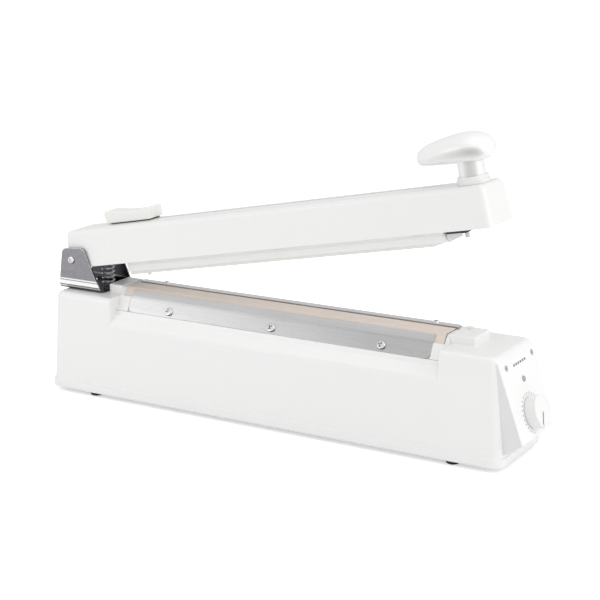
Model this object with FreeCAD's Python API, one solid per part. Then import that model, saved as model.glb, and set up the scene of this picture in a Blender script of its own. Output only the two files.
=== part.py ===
import FreeCAD, Part
import math
import os

# Impulse heat sealer with a film cutter, in millimetres.
# X runs from the hinge end to the control end, Y to the rear and Z up.
# The pieces are built with x = 0 at the hinge end of the skirt and y = 0 on the
# centre plane, and the last step moves x = 0 to the middle of the footprint.

# Base housing, a drafted moulding that stands on four rubber feet
BASE_LENGTH = 437.0
BASE_WIDTH = 81.6
BODY_HEIGHT = 86.0
SKIRT_HEIGHT = 7.5
SKIRT_STEP = 1.6
SKIRT_CORNER_RADIUS = 7.0
BODY_CORNER_RADIUS = 8.0
TOP_EDGE_RADIUS = 4.5
HOUSING_WALL = 2.5
LONG_SIDE_DRAFT = 5.2
HINGE_END_DRAFT = 3.7
PANEL_END_DRAFT = 5.6

# Feet, bottom plate and the posts that take the foot screws
FOOT_HEIGHT = 4.0
FOOT_TOP_RADIUS = 6.0
FOOT_BOTTOM_RADIUS = 5.2
FOOT_INSET_X = 44.5
FOOT_INSET_Y = 9.5
FOOT_RECESS_DEPTH = 2.0
FOOT_RECESS_RADIUS = 3.2
FOOT_HOLE_RADIUS = 1.5
POST_PILOT_DEPTH = 12.0
PLATE_THICKNESS = 1.2
POST_RADIUS = 4.5
POST_HEIGHT = 40.0

# Notch in the front of the housing, with its sloping ledge and the jaw trough
NOTCH_START = 65.1
NOTCH_TO_PANEL_END = 56.5
NOTCH_LENGTH = BASE_LENGTH - NOTCH_START - NOTCH_TO_PANEL_END
NOTCH_DEPTH = 23.0
LEDGE_RUN = 11.4
LEDGE_RISE = 9.3
TROUGH_DEPTH = 16.0
TROUGH_REAR_Y = 14.4

# Raised blocks at both ends of the jaw
RIDGE_FRONT_Y = -13.8
RIDGE_HEIGHT = 7.4
RIDGE_EDGE_RADIUS = 1.2
LEFT_BLOCK_LENGTH = 15.0
RIGHT_BLOCK_LENGTH = 21.0

# Heated jaw
JAW_END_GAP = 3.6
JAW_TOP_BELOW_RIDGE = 1.2
JAW_FACE_ANGLE = 60.0
JAW_FACE_LENGTH = 13.4
JAW_SHOULDER_ANGLE = 51.0
JAW_SHOULDER_LENGTH = 7.1
GROOVE_Y = 6.5
GROOVE_WIDTH = 2.4
GROOVE_DEPTH = 6.2
INSULATION_THICKNESS = 0.3
INSULATION_WIDTH = 13.0
RIBBON_WIDTH = 4.0
RIBBON_THICKNESS = 0.2
RIBBON_DROP = 12.0
SEAL_Y = -4.0
CLOTH_THICKNESS = 0.25
CLOTH_LIFT = 0.05
TERMINAL_WIDTH = 8.0
TERMINAL_HEIGHT = 11.0

# Front clamp plate and rear guide strip
CLAMP_THICKNESS = 0.8
CLAMP_END_MARGIN = 8.6
CLAMP_LENGTH = NOTCH_LENGTH - 2 * (JAW_END_GAP + CLAMP_END_MARGIN)
CLAMP_CORNER_RADIUS = 5.0
GUIDE_THICKNESS = 1.4

# Hinge bracket, a bent channel of chromed sheet
BRACKET_SHEET = 1.5
BRACKET_WIDTH = 46.8
BRACKET_BEND_RADIUS = 6.0
BRACKET_START_X = 1.5
BRACKET_FOOT_LENGTH = 46.5
EAR_HEIGHT = 36.6
EAR_TOP_START = 5.5
EAR_TOP_LENGTH = 23.5
EAR_TOP_RISE = 2.4
EAR_CORNER_RADIUS = 4.0

# Hinge pin and the sleeve that turns on it
PIVOT_X = 17.1
PIVOT_ABOVE_TOP = 27.0
PIN_RADIUS = 2.5
PIN_HEAD_RADIUS = 3.3
PIN_HEAD_HEIGHT = 1.4
SLEEVE_RADIUS = 4.5
RUNNING_FIT = 0.05
SEATED_FIT = 0.02
SIDE_PLAY = 0.3

# Return spring under the arm
SPRING_WIRE = 1.6
SPRING_MEAN_RADIUS = 5.0
SPRING_WIRE_SIDES = 6
SPRING_TURNS = 5
SPRING_ARM_DISTANCE = 21.0
SPRING_SPIGOT_RADIUS = 3.4
SPRING_SPIGOT_HEIGHT = 2.5

# Arm, measured from the hinge pin along the arm and up from it
ARM_OPEN_ANGLE = 11.0
ARM_HEEL = 7.7
ARM_REACH_SHORTER = 30.9
ARM_REACH = BASE_LENGTH - ARM_REACH_SHORTER
ARM_BELOW_PIN = 7.8
ARM_ABOVE_PIN = 24.6
ARM_SIDE_GAP = 0.4
ARM_WIDTH = BRACKET_WIDTH - 2 * (BRACKET_SHEET + ARM_SIDE_GAP)
ARM_DRAFT = 2.25
ARM_END_DRAFT = 2.7
ARM_CORNER_RADIUS = 5.0
ARM_TOP_EDGE_RADIUS = 3.5
ARM_WALL = 2.0
ARM_BOSS_RADIUS = 2.8
ARM_BOSS_FROM_RIM = 5.9
ARM_BOSS_Y = ARM_WIDTH / 2 - ARM_BOSS_FROM_RIM
HEEL_PLATE_START = 11.0
HEEL_PLATE_LENGTH = 26.0
HEEL_PLATE_THICKNESS = 2.0
HEEL_BOSS_S = 30.0

# Jaw carrier under the arm, with the silicone strip
CARRIER_START = 52.0
CARRIER_TO_ARM_END = 42.1
CARRIER_LENGTH = ARM_REACH - CARRIER_START - CARRIER_TO_ARM_END
CARRIER_WIDTH = 26.0
CARRIER_WALL = 2.0
CARRIER_FLOOR = 2.5
CARRIER_FLANGE_TOP = -4.5
CARRIER_SLOT_WIDTH = 3.6
CARRIER_SLOT_END_BRIDGE = 10.0
CARRIER_BOSS_FIRST = 28.0
CARRIER_BOSS_LAST = 24.0
CARRIER_BOSS_COUNT = 3
CARRIER_BOSS_PITCH = (CARRIER_LENGTH - CARRIER_BOSS_FIRST - CARRIER_BOSS_LAST) / (CARRIER_BOSS_COUNT - 1)
CLOSED_GAP = 0.3
STRIP_THICKNESS = 2.7
STRIP_WIDTH = 15.0
STRIP_INSET = 1.0
STRIP_END_SLOPE = 12.0

# Pusher under the arm's free end, and the switch that it works
PUSHER_PAST_CARRIER = 6.5
PUSHER_S = CARRIER_START + CARRIER_LENGTH + PUSHER_PAST_CARRIER
PUSHER_Y = 8.4
PUSHER_PLATE_LENGTH = 18.5
PUSHER_SIDE_MARGIN = 4.5
PUSHER_PLATE_WIDTH = ARM_WIDTH - 2 * PUSHER_SIDE_MARGIN
PUSHER_PLATE_THICKNESS = 2.0
PUSHER_PLATE_TOP = -8.1
PUSHER_COLLAR_RADIUS = 3.0
PUSHER_COLLAR_HEIGHT = 1.2
PUSHER_PEG_RADIUS = 1.9
PUSHER_BOSS_PAST_CARRIER = 14.5
PUSHER_BOSS_S = CARRIER_START + CARRIER_LENGTH + PUSHER_BOSS_PAST_CARRIER
PUSHER_BOSS_Y = 10.5
BUTTON_RADIUS = 2.5
BUTTON_PROUD = 1.5
BUTTON_LENGTH = 5.6
BUTTON_TRAVEL = 1.5
BUTTON_FLANGE_RADIUS = 3.2
BUTTON_FLANGE_HEIGHT = 1.0
SWITCH_LENGTH = 19.0
SWITCH_WIDTH = 6.4
SWITCH_HEIGHT = 10.2
SWITCH_RIB = 3.0

# Handle on the arm
HANDLE_TO_ARM_END = 18.8
HANDLE_S = ARM_REACH - HANDLE_TO_ARM_END
COLLAR_RADIUS = 13.0
COLLAR_STEP = 0.7
COLLAR_HEIGHT = 6.0
STEM_RADIUS = 10.6
KNOB_UNDERSIDE = 15.7
KNOB_TIP_REACH = 44.3
KNOB_BACK_REACH = 20.8
KNOB_HALF_WIDTH = 19.3
KNOB_HEIGHT = 24.1
KNOB_SIDES = 20
# Sections of the knob: place from tip to back, underside and top as shares of
# its height, and half width as a share of its largest.
KNOB_FORM = (
    (0.0, 0.20, 0.36, 0.06),
    (0.015, 0.13, 0.48, 0.20),
    (0.05, 0.065, 0.60, 0.34),
    (0.12, 0.05, 0.70, 0.49),
    (0.22, 0.03, 0.785, 0.63),
    (0.34, 0.025, 0.87, 0.77),
    (0.48, 0.005, 0.945, 0.90),
    (0.62, 0.00, 0.99, 0.98),
    (0.73, 0.00, 1.00, 1.00),
    (0.83, 0.02, 0.95, 0.94),
    (0.91, 0.06, 0.85, 0.80),
    (0.96, 0.12, 0.73, 0.61),
    (0.99, 0.20, 0.57, 0.34),
    (1.0, 0.28, 0.44, 0.10),
)
HANDLE_BOLT_RADIUS = 3.0
HANDLE_BOLT_HEAD_RADIUS = 5.0
HANDLE_BOLT_HEAD_HEIGHT = 4.0
HANDLE_BOLT_GRIP = 12.0

# Cutter
CUTTER_S = 59.0
ARM_SLOT_START = 45.0
ARM_SLOT_TO_END = 49.1
ARM_SLOT_LENGTH = ARM_REACH - ARM_SLOT_START - ARM_SLOT_TO_END
ARM_SLOT_WIDTH = 3.4
SLIDER_LENGTH = 60.0
SLIDER_FLARE = 1.5
SLIDER_HUMP_RUN = 7.5
SLIDER_WIDTH = 12.6
SLIDER_LIFT = 1.0
SLIDER_HEIGHT = 12.2
SLIDER_SADDLE_DEPTH = 2.6
SLIDER_FRONT_RISE = 1.8
SLIDER_EDGE_RADIUS = 1.2
CARRIAGE_LENGTH = 38.0
CARRIAGE_WIDTH = 8.2
CARRIAGE_HEIGHT = 12.0
CARRIAGE_PLAY = 0.3
NECK_LENGTH = 24.0
NECK_WIDTH = 2.2
TONGUE_LENGTH = 16.0
TONGUE_DEPTH = 4.1
BLADE_LENGTH = 12.0
BLADE_THICKNESS = 0.6
BLADE_GRIP = 3.4
BLADE_REACH = 5.8
BLADE_TIP_WIDTH = 1.2

# Control panel wedge, timer dial and lamp
PANEL_TOP_Z = 85.2
PANEL_TIP_Z = 23.8
PANEL_ROOT_Z = 13.6
PANEL_OVERHANG = 16.3
PANEL_WIDTH = 65.6
PANEL_WALL = 2.5
PANEL_EDGE_RADIUS = 1.0
WINDOW_WIDTH = 44.0
WINDOW_BOTTOM = 26.0
WINDOW_TOP = 72.0
DIAL_DISTANCE = 46.7
DIAL_Y = -3.0
DIAL_RADIUS = 13.3
DIAL_HEIGHT = 10.0
DIAL_EDGE = 1.0
DIAL_STANDOFF = 0.4
DIAL_MARK_WIDTH = 1.1
DIAL_MARK_DEPTH = 0.4
DIAL_MARK_LENGTH = 11.5
DIAL_REST_ANGLE = 32.0
SHAFT_RADIUS = 3.0
SHAFT_IN_DIAL = 7.0
SHAFT_IN_BODY = 6.0
TIMER_RADIUS = 8.5
TIMER_DEPTH = 8.0
BUSHING_RADIUS = 4.0
LAMP_DISTANCE = 20.0
LAMP_RADIUS = 2.4
LAMP_PROUD = 0.9
LAMP_DEPTH = 4.2
LAMP_FLANGE_RADIUS = 3.0
LAMP_FLANGE_HEIGHT = 0.8

# Electrical parts inside the base
CORE_LENGTH = 70.0
CORE_DEPTH = 36.0
CORE_HEIGHT = 56.0
CORE_LEG = 12.0
CORE_CENTRE_LEG = 23.0
COIL_DEPTH = 54.0
COIL_PLAY = 0.3
CORE_TO_PANEL_END = 147.0
CORE_X = BASE_LENGTH - CORE_TO_PANEL_END
STRAP_SHEET = 1.2
STRAP_WIDTH = 18.0
STRAP_FOOT = 11.0
BOARD_TO_PANEL_END = 49.0
BOARD_X = BASE_LENGTH - BOARD_TO_PANEL_END
BOARD_LENGTH = 46.0
BOARD_WIDTH = 46.0
BOARD_THICKNESS = 1.6
BOARD_LIFT = 8.0
STANDOFF_RADIUS = 2.6
STANDOFF_INSET = 5.0
RELAY_SIZE = (18.0, 15.0, 14.0)
HEAT_SINK_SIZE = (6.0, 24.0, 20.0)

# Gland for the mains lead in the rear wall
GLAND_TO_PANEL_END = 33.0
GLAND_X = BASE_LENGTH - GLAND_TO_PANEL_END
GLAND_Z = 25.0
GLAND_RADIUS = 6.0
GLAND_FLANGE_RADIUS = 8.5
GLAND_FLANGE_THICKNESS = 1.8
GLAND_INNER_LENGTH = 8.0
GLAND_BORE_RADIUS = 3.6

# Levels that follow from the sizes above
SKIRT_BOTTOM = FOOT_HEIGHT
SKIRT_TOP = SKIRT_BOTTOM + SKIRT_HEIGHT
BASE_TOP = SKIRT_BOTTOM + BODY_HEIGHT
PLATE_TOP = SKIRT_BOTTOM + PLATE_THICKNESS
NOTCH_END = NOTCH_START + NOTCH_LENGTH
NOTCH_MIDDLE = NOTCH_START + NOTCH_LENGTH / 2
NOTCH_FLOOR = BASE_TOP - NOTCH_DEPTH
LEDGE_TOP = NOTCH_FLOOR + LEDGE_RISE
TROUGH_FLOOR = BASE_TOP - TROUGH_DEPTH
RIDGE_TOP = BASE_TOP + RIDGE_HEIGHT
JAW_TOP = RIDGE_TOP - JAW_TOP_BELOW_RIDGE
JAW_START = NOTCH_START + JAW_END_GAP
JAW_END = NOTCH_END - JAW_END_GAP
CLOTH_BOTTOM = JAW_TOP + INSULATION_THICKNESS + RIBBON_THICKNESS + CLOTH_LIFT
SEAL_TOP = CLOTH_BOTTOM + CLOTH_THICKNESS
PIVOT_Z = BASE_TOP + PIVOT_ABOVE_TOP
STRIP_BOTTOM = SEAL_TOP + CLOSED_GAP - PIVOT_Z
CARRIER_BOTTOM = STRIP_BOTTOM + STRIP_THICKNESS
CARRIER_FLOOR_TOP = CARRIER_BOTTOM + CARRIER_FLOOR
CARRIER_END = CARRIER_START + CARRIER_LENGTH
ARM_ROOF = ARM_ABOVE_PIN - ARM_WALL
FAR = 300.0

Vector = FreeCAD.Vector
X_AXIS = Vector(1, 0, 0)
Y_AXIS = Vector(0, 1, 0)
Z_AXIS = Vector(0, 0, 1)


def box(x_range, y_range, z_range):
    """Box between pairs of x, y and z values."""
    size = [high - low for low, high in (x_range, y_range, z_range)]
    return Part.makeBox(*size, Vector(x_range[0], y_range[0], z_range[0]))


def cylinder(start, axis, radius, length):
    """Cylinder from a start point along an axis."""
    return Part.makeCylinder(radius, length, Vector(*start), axis)


def prism_along_y(points, y_range):
    """Prism whose x, z outline is extruded from one y to another."""
    corners = [Vector(x, y_range[0], z) for x, z in points]
    face = Part.Face(Part.makePolygon(corners + corners[:1]))
    return face.extrude(Y_AXIS * (y_range[1] - y_range[0]))


def prism_along_x(points, x_range):
    """Prism whose y, z outline is extruded from one x to another."""
    corners = [Vector(x_range[0], y, z) for y, z in points]
    face = Part.Face(Part.makePolygon(corners + corners[:1]))
    return face.extrude(X_AXIS * (x_range[1] - x_range[0]))


def drafted_block(bottom, top):
    """Block between two rectangles about y = 0, each (x_range, half_width, z, radius).

    The upright edges are rounded by the bottom rectangle's radius.
    """
    (x0, x1), half, z0, radius = bottom
    (top_x0, top_x1), top_half, z1 = top[:3]
    block = Part.makeWedge(x0, z0, -half, -top_half, top_x0, x1, z1, half, top_half, top_x1)
    block.rotate(Vector(0, 0, 0), X_AXIS, 90)
    uprights = [edge for edge in block.Edges if abs(edge.Vertexes[0].Z - edge.Vertexes[1].Z) > (z1 - z0) / 2]
    return block.makeFillet(radius, uprights)


def edges_at(shape, z, tolerance=0.01):
    """Edges of a shape that lie wholly at one height."""
    return [
        edge for edge in shape.Edges
        if all(abs(vertex.Z - z) < tolerance for vertex in edge.Vertexes)
    ]


def offset_line(line, distance):
    """Line of y, z points moved to its left, with mitred corners."""
    normals = []
    for start, end in zip(line, line[1:]):
        length = math.dist(start, end)
        normals.append(((start[1] - end[1]) / length, (end[0] - start[0]) / length))
    outer = []
    for index, (y, z) in enumerate(line):
        before = normals[max(index - 1, 0)]
        after = normals[min(index, len(normals) - 1)]
        scale = distance / (1 + before[0] * after[0] + before[1] * after[1])
        outer.append((y + scale * (before[0] + after[0]), z + scale * (before[1] + after[1])))
    return outer


def sheet_along_x(line, thickness, x_range):
    """Bent sheet: a y, z line thickened to its left and extruded along x."""
    return prism_along_x(line + offset_line(line, thickness)[::-1], x_range)


def headed_pin(seat, axis, head_radius, head_height, radius, length):
    """Pin whose chamfered head stands on its seat, with its shank against the axis."""
    head = cylinder(seat, axis, head_radius, head_height)
    rims = [edge for edge in head.Edges if isinstance(edge.Curve, Part.Circle)]
    outer = max(rims, key=lambda edge: edge.Curve.Center.dot(axis))
    head = head.makeChamfer(head_height / 3, [outer])
    return head.fuse(cylinder(seat, axis * -1, radius, length))


def group(solids):
    """Several separate solids of one kind as one shape."""
    return Part.makeCompound(solids)


# Base housing

def body_half_width(z):
    """Half width of the housing's outside at a height."""
    rise = (z - SKIRT_TOP) / (BASE_TOP - SKIRT_TOP)
    return BASE_WIDTH / 2 - SKIRT_STEP - LONG_SIDE_DRAFT * rise


def body_end_x(z):
    """Outside of the housing's control end at a height."""
    rise = (z - SKIRT_TOP) / (BASE_TOP - SKIRT_TOP)
    return BASE_LENGTH - SKIRT_STEP - PANEL_END_DRAFT * rise


def body_start_x(z):
    """Outside of the housing's hinge end at a height."""
    rise = (z - SKIRT_TOP) / (BASE_TOP - SKIRT_TOP)
    return SKIRT_STEP + HINGE_END_DRAFT * rise


def body_section(z, inset):
    """Rounded rectangle of the drafted body at a height, moved in by a wall."""
    x_range = (body_start_x(z) + inset, body_end_x(z) - inset)
    return (x_range, body_half_width(z) - inset, z, BODY_CORNER_RADIUS - inset)


def body_form():
    """Drafted outside of the housing above its skirt, with a rounded top edge."""
    block = drafted_block(body_section(SKIRT_TOP, 0.0), body_section(BASE_TOP, 0.0))
    return block.makeFillet(TOP_EDGE_RADIUS, edges_at(block, BASE_TOP))


def skirt_form():
    """Flange round the foot of the housing."""
    outline = ((0.0, BASE_LENGTH), BASE_WIDTH / 2, SKIRT_BOTTOM, SKIRT_CORNER_RADIUS)
    top = (outline[0], outline[1], SKIRT_TOP, SKIRT_CORNER_RADIUS)
    skirt = drafted_block(outline, top)
    return skirt.makeFillet(SKIRT_STEP * 0.6, edges_at(skirt, SKIRT_TOP))


def notch_cut(wall):
    """Space in front of and above the jaw; a wall keeps it off the inside."""
    front = -body_half_width(NOTCH_FLOOR)
    ledge_end = front + LEDGE_RUN
    lower = wall
    points = [
        (-FAR, NOTCH_FLOOR - lower),
        (front, NOTCH_FLOOR - lower),
        (ledge_end, (LEDGE_TOP if wall == 0 else TROUGH_FLOOR) - lower),
        (ledge_end, TROUGH_FLOOR - lower),
        (TROUGH_REAR_Y + wall, TROUGH_FLOOR - lower),
        (TROUGH_REAR_Y + wall, FAR),
        (-FAR, FAR),
    ]
    distinct = [point for index, point in enumerate(points) if point != points[index - 1]]
    return prism_along_x(distinct, (NOTCH_START - wall, NOTCH_END + wall))


def end_blocks(inset):
    """The two raised blocks beside the jaw, or the hollows inside them."""
    blocks = []
    spans = (
        (NOTCH_START - LEFT_BLOCK_LENGTH, NOTCH_START),
        (NOTCH_END, NOTCH_END + RIGHT_BLOCK_LENGTH),
    )
    root = BASE_TOP - 2 * TOP_EDGE_RADIUS
    for start, end in spans:
        block = box(
            (start + inset, end - inset),
            (RIDGE_FRONT_Y + inset, TROUGH_REAR_Y - inset),
            (root, RIDGE_TOP - inset),
        )
        if inset == 0:
            block = block.makeFillet(RIDGE_EDGE_RADIUS, edges_at(block, RIDGE_TOP))
        blocks.append(block)
    return blocks


def foot_centres():
    """Centres of the four feet."""
    return [
        (x, y)
        for x in (FOOT_INSET_X, BASE_LENGTH - FOOT_INSET_X)
        for y in (FOOT_INSET_Y - BASE_WIDTH / 2, BASE_WIDTH / 2 - FOOT_INSET_Y)
    ]


def housing_cavity():
    """Inside of the housing, open at the bottom."""
    inset = HOUSING_WALL
    roof = BASE_TOP - inset
    cavity = drafted_block(body_section(SKIRT_BOTTOM, inset), body_section(roof, inset))
    cavity = cavity.cut(notch_cut(inset))
    for hollow in end_blocks(inset):
        cavity = cavity.fuse(hollow)
    return cavity


def switch_centre():
    """Centre of the switch button in plan, under the arm's pusher."""
    return PIVOT_X + PUSHER_S, PUSHER_Y


def switch_top():
    """Top of the switch case, below the pressed button."""
    return RIDGE_TOP + BUTTON_PROUD - BUTTON_LENGTH - BUTTON_TRAVEL - CARRIAGE_PLAY


def switch_span():
    """Extent of the switch case along y, inside the right block."""
    rear = TROUGH_REAR_Y - HOUSING_WALL - SIDE_PLAY
    return rear - SWITCH_LENGTH, rear


def switch_rib():
    """Rib that hangs from the right block's roof and carries the switch."""
    front = switch_span()[0]
    return box(
        (NOTCH_END + HOUSING_WALL, NOTCH_END + RIGHT_BLOCK_LENGTH - HOUSING_WALL),
        (front, front + SWITCH_RIB),
        (switch_top(), RIDGE_TOP - HOUSING_WALL),
    )


def make_base_housing():
    """Moulded housing: drafted shell, notch, ridge blocks, posts and holes."""
    shell = body_form().fuse(skirt_form()).cut(notch_cut(0.0))
    for block in end_blocks(0.0):
        shell = shell.fuse(block)
    shell = shell.cut(housing_cavity())
    for x, y in foot_centres():
        shell = shell.fuse(cylinder((x, y, PLATE_TOP), Z_AXIS, POST_RADIUS, POST_HEIGHT))
    shell = shell.fuse(switch_rib())
    for x, y in foot_centres():
        shell = shell.cut(cylinder((x, y, PLATE_TOP), Z_AXIS, FOOT_HOLE_RADIUS, POST_PILOT_DEPTH))
    x, y = switch_centre()
    hole_radius = BUTTON_RADIUS + RUNNING_FIT
    shell = shell.cut(cylinder((x, y, RIDGE_TOP), Z_AXIS * -1, hole_radius, HOUSING_WALL * 1.5))
    window = box(
        (body_end_x(WINDOW_BOTTOM) - 3 * HOUSING_WALL, BASE_LENGTH),
        (-WINDOW_WIDTH / 2, WINDOW_WIDTH / 2),
        (WINDOW_BOTTOM, WINDOW_TOP),
    )
    gland_hole = cylinder((GLAND_X, 0, GLAND_Z), Y_AXIS, GLAND_RADIUS + SEATED_FIT, BASE_WIDTH)
    return shell.cut(window).cut(gland_hole).removeSplitter()


def make_base_plate():
    """Flat steel plate that closes the housing from below."""
    x_range, half_width, _, radius = body_section(PLATE_TOP, HOUSING_WALL + SIDE_PLAY)
    lower = (x_range, half_width, SKIRT_BOTTOM, radius)
    upper = (x_range, half_width, PLATE_TOP, radius)
    plate = drafted_block(lower, upper)
    for x, y in foot_centres():
        hole = cylinder((x, y, SKIRT_BOTTOM), Z_AXIS, FOOT_HOLE_RADIUS, PLATE_THICKNESS)
        plate = plate.cut(hole)
    return plate


def make_rubber_feet():
    """Four tapered rubber feet, each with a stepped hole from below."""
    feet = []
    for x, y in foot_centres():
        foot = Part.makeCone(FOOT_BOTTOM_RADIUS, FOOT_TOP_RADIUS, FOOT_HEIGHT, Vector(x, y, 0))
        recess = cylinder((x, y, 0), Z_AXIS, FOOT_RECESS_RADIUS, FOOT_RECESS_DEPTH)
        hole = cylinder((x, y, 0), Z_AXIS, FOOT_HOLE_RADIUS, FOOT_HEIGHT)
        feet.append(foot.cut(recess).cut(hole))
    return group(feet)


# Heated jaw

def jaw_front_line():
    """Front of the jaw in y, z: a steep face, a shoulder and the top edge."""
    top_y = RIDGE_FRONT_Y + JAW_TOP_BELOW_RIDGE
    shoulder = (
        top_y - JAW_SHOULDER_LENGTH * math.cos(math.radians(JAW_SHOULDER_ANGLE)),
        JAW_TOP - JAW_TOP_BELOW_RIDGE - JAW_SHOULDER_LENGTH * math.sin(math.radians(JAW_SHOULDER_ANGLE)),
    )
    foot = (
        shoulder[0] - JAW_FACE_LENGTH * math.cos(math.radians(JAW_FACE_ANGLE)),
        shoulder[1] - JAW_FACE_LENGTH * math.sin(math.radians(JAW_FACE_ANGLE)),
    )
    crown = (top_y + JAW_TOP_BELOW_RIDGE, JAW_TOP)
    return [foot, shoulder, (top_y, JAW_TOP - JAW_TOP_BELOW_RIDGE), crown]


def make_jaw_bar():
    """Aluminium jaw bar with its sloping front and the cutter's groove."""
    front = jaw_front_line()
    points = [(front[0][0], TROUGH_FLOOR)] + front
    points += [(TROUGH_REAR_Y, JAW_TOP), (TROUGH_REAR_Y, TROUGH_FLOOR)]
    bar = prism_along_x(points, (JAW_START, JAW_END))
    groove = box(
        (JAW_START, JAW_END),
        (GROOVE_Y - GROOVE_WIDTH / 2, GROOVE_Y + GROOVE_WIDTH / 2),
        (JAW_TOP - GROOVE_DEPTH, JAW_TOP),
    )
    return bar.cut(groove)


def make_insulation_strip():
    """Insulating tape on the jaw bar, under the heating ribbon."""
    return box(
        (JAW_START, JAW_END),
        (SEAL_Y - INSULATION_WIDTH / 2, SEAL_Y + INSULATION_WIDTH / 2),
        (JAW_TOP, JAW_TOP + INSULATION_THICKNESS),
    )


def make_heating_ribbon():
    """Resistance ribbon along the jaw, turned down over both ends of the bar."""
    low = JAW_TOP + INSULATION_THICKNESS
    y_range = (SEAL_Y - RIBBON_WIDTH / 2, SEAL_Y + RIBBON_WIDTH / 2)
    outer = (JAW_START - RIBBON_THICKNESS, JAW_END + RIBBON_THICKNESS)
    ribbon = box(outer, y_range, (low, low + RIBBON_THICKNESS))
    for leg in ((outer[0], JAW_START), (JAW_END, outer[1])):
        ribbon = ribbon.fuse(box(leg, y_range, (low - RIBBON_DROP, low + RIBBON_THICKNESS)))
    return ribbon.removeSplitter()


def make_ribbon_terminals():
    """Brass blocks that grip the ribbon's ends beside the jaw bar."""
    half = TERMINAL_WIDTH / 2
    y_range = (SEAL_Y - half, SEAL_Y + half)
    z_range = (TROUGH_FLOOR, TROUGH_FLOOR + TERMINAL_HEIGHT)
    left = (NOTCH_START + SIDE_PLAY, JAW_START - RIBBON_THICKNESS)
    right = (JAW_END + RIBBON_THICKNESS, NOTCH_END - SIDE_PLAY)
    return group([box(left, y_range, z_range), box(right, y_range, z_range)])


def cloth_line():
    """Path of the non-stick cloth: up the jaw's front, over the top, into the groove."""
    foot, shoulder, edge, crown = jaw_front_line()
    angle = math.radians(JAW_FACE_ANGLE)
    lift = CLOTH_LIFT
    out = (-math.sin(angle) * lift, math.cos(angle) * lift)
    rise = CLOTH_BOTTOM - JAW_TOP
    groove_front = GROOVE_Y - GROOVE_WIDTH / 2
    return [
        (foot[0] + out[0], foot[1] + out[1]),
        (shoulder[0] + out[0], shoulder[1] + out[1]),
        (edge[0] - rise, edge[1] + rise / 2),
        (crown[0], CLOTH_BOTTOM),
        (groove_front - rise, CLOTH_BOTTOM),
        (groove_front + CLOTH_LIFT, JAW_TOP),
        (groove_front + CLOTH_LIFT, JAW_TOP - GROOVE_DEPTH / 2),
    ]


def make_release_cloth():
    """Non-stick glass cloth over the heating ribbon."""
    return sheet_along_x(cloth_line(), CLOTH_THICKNESS, (JAW_START, JAW_END))


def make_clamp_plate():
    """Bent steel plate that clamps the cloth to the jaw's front."""
    line = offset_line(cloth_line(), CLOTH_THICKNESS)[:3]
    half = CLAMP_LENGTH / 2
    plate = sheet_along_x(line, CLAMP_THICKNESS, (NOTCH_MIDDLE - half, NOTCH_MIDDLE + half))
    foot_z = line[0][1]
    corners = [
        edge for edge in plate.Edges
        if edge.Length < CLAMP_THICKNESS * 1.3
        and max(vertex.Z for vertex in edge.Vertexes) < foot_z + CLAMP_THICKNESS
    ]
    return plate.makeFillet(CLAMP_CORNER_RADIUS, corners)


def make_rear_guide():
    """Flat steel strip behind the groove, which guides the film and the blade."""
    return box(
        (JAW_START, JAW_END),
        (GROOVE_Y + GROOVE_WIDTH / 2, TROUGH_REAR_Y),
        (JAW_TOP, JAW_TOP + GUIDE_THICKNESS),
    )


# Hinge

def channel_form(inset):
    """Tall channel with rounded lower corners; an inset gives its inside."""
    half = BRACKET_WIDTH / 2 - inset
    low = BASE_TOP + inset
    block = box((-FAR, FAR), (-half, half), (low, low + FAR))
    corners = [edge for edge in edges_at(block, low) if abs(edge.tangentAt(0).x) > 0.9]
    return block.makeFillet(BRACKET_BEND_RADIUS - inset, corners)


def make_hinge_bracket():
    """Bent channel with two upright ears that hold the hinge pin."""
    start = BRACKET_START_X
    ear_top = BASE_TOP + EAR_HEIGHT
    top_start = start + EAR_TOP_START
    outline = [
        (start, BASE_TOP),
        (start + BRACKET_FOOT_LENGTH, BASE_TOP),
        (top_start + EAR_TOP_LENGTH, ear_top + EAR_TOP_RISE),
        (top_start, ear_top),
    ]
    profile = prism_along_y(outline, (-BRACKET_WIDTH, BRACKET_WIDTH))
    uprights = [
        edge for edge in profile.Edges
        if abs(edge.tangentAt(0).y) > 0.9 and edge.Vertexes[0].Z > BASE_TOP + EAR_HEIGHT / 2
    ]
    profile = profile.makeFillet(EAR_CORNER_RADIUS, uprights)
    bracket = profile.common(channel_form(0.0).cut(channel_form(BRACKET_SHEET)))
    start = (PIVOT_X, -BRACKET_WIDTH, PIVOT_Z)
    return bracket.cut(cylinder(start, Y_AXIS, PIN_RADIUS + SEATED_FIT, 2 * BRACKET_WIDTH))


def make_hinge_pin():
    """Pin through both ears, with a head at each end."""
    half = BRACKET_WIDTH / 2
    pin = cylinder((PIVOT_X, -half, PIVOT_Z), Y_AXIS, PIN_RADIUS, BRACKET_WIDTH)
    for side in (-1, 1):
        head = headed_pin((PIVOT_X, side * half, PIVOT_Z), Y_AXIS * side, PIN_HEAD_RADIUS,
                         PIN_HEAD_HEIGHT, PIN_RADIUS, PIN_HEAD_HEIGHT)
        pin = pin.fuse(head)
    return pin.removeSplitter()


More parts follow.
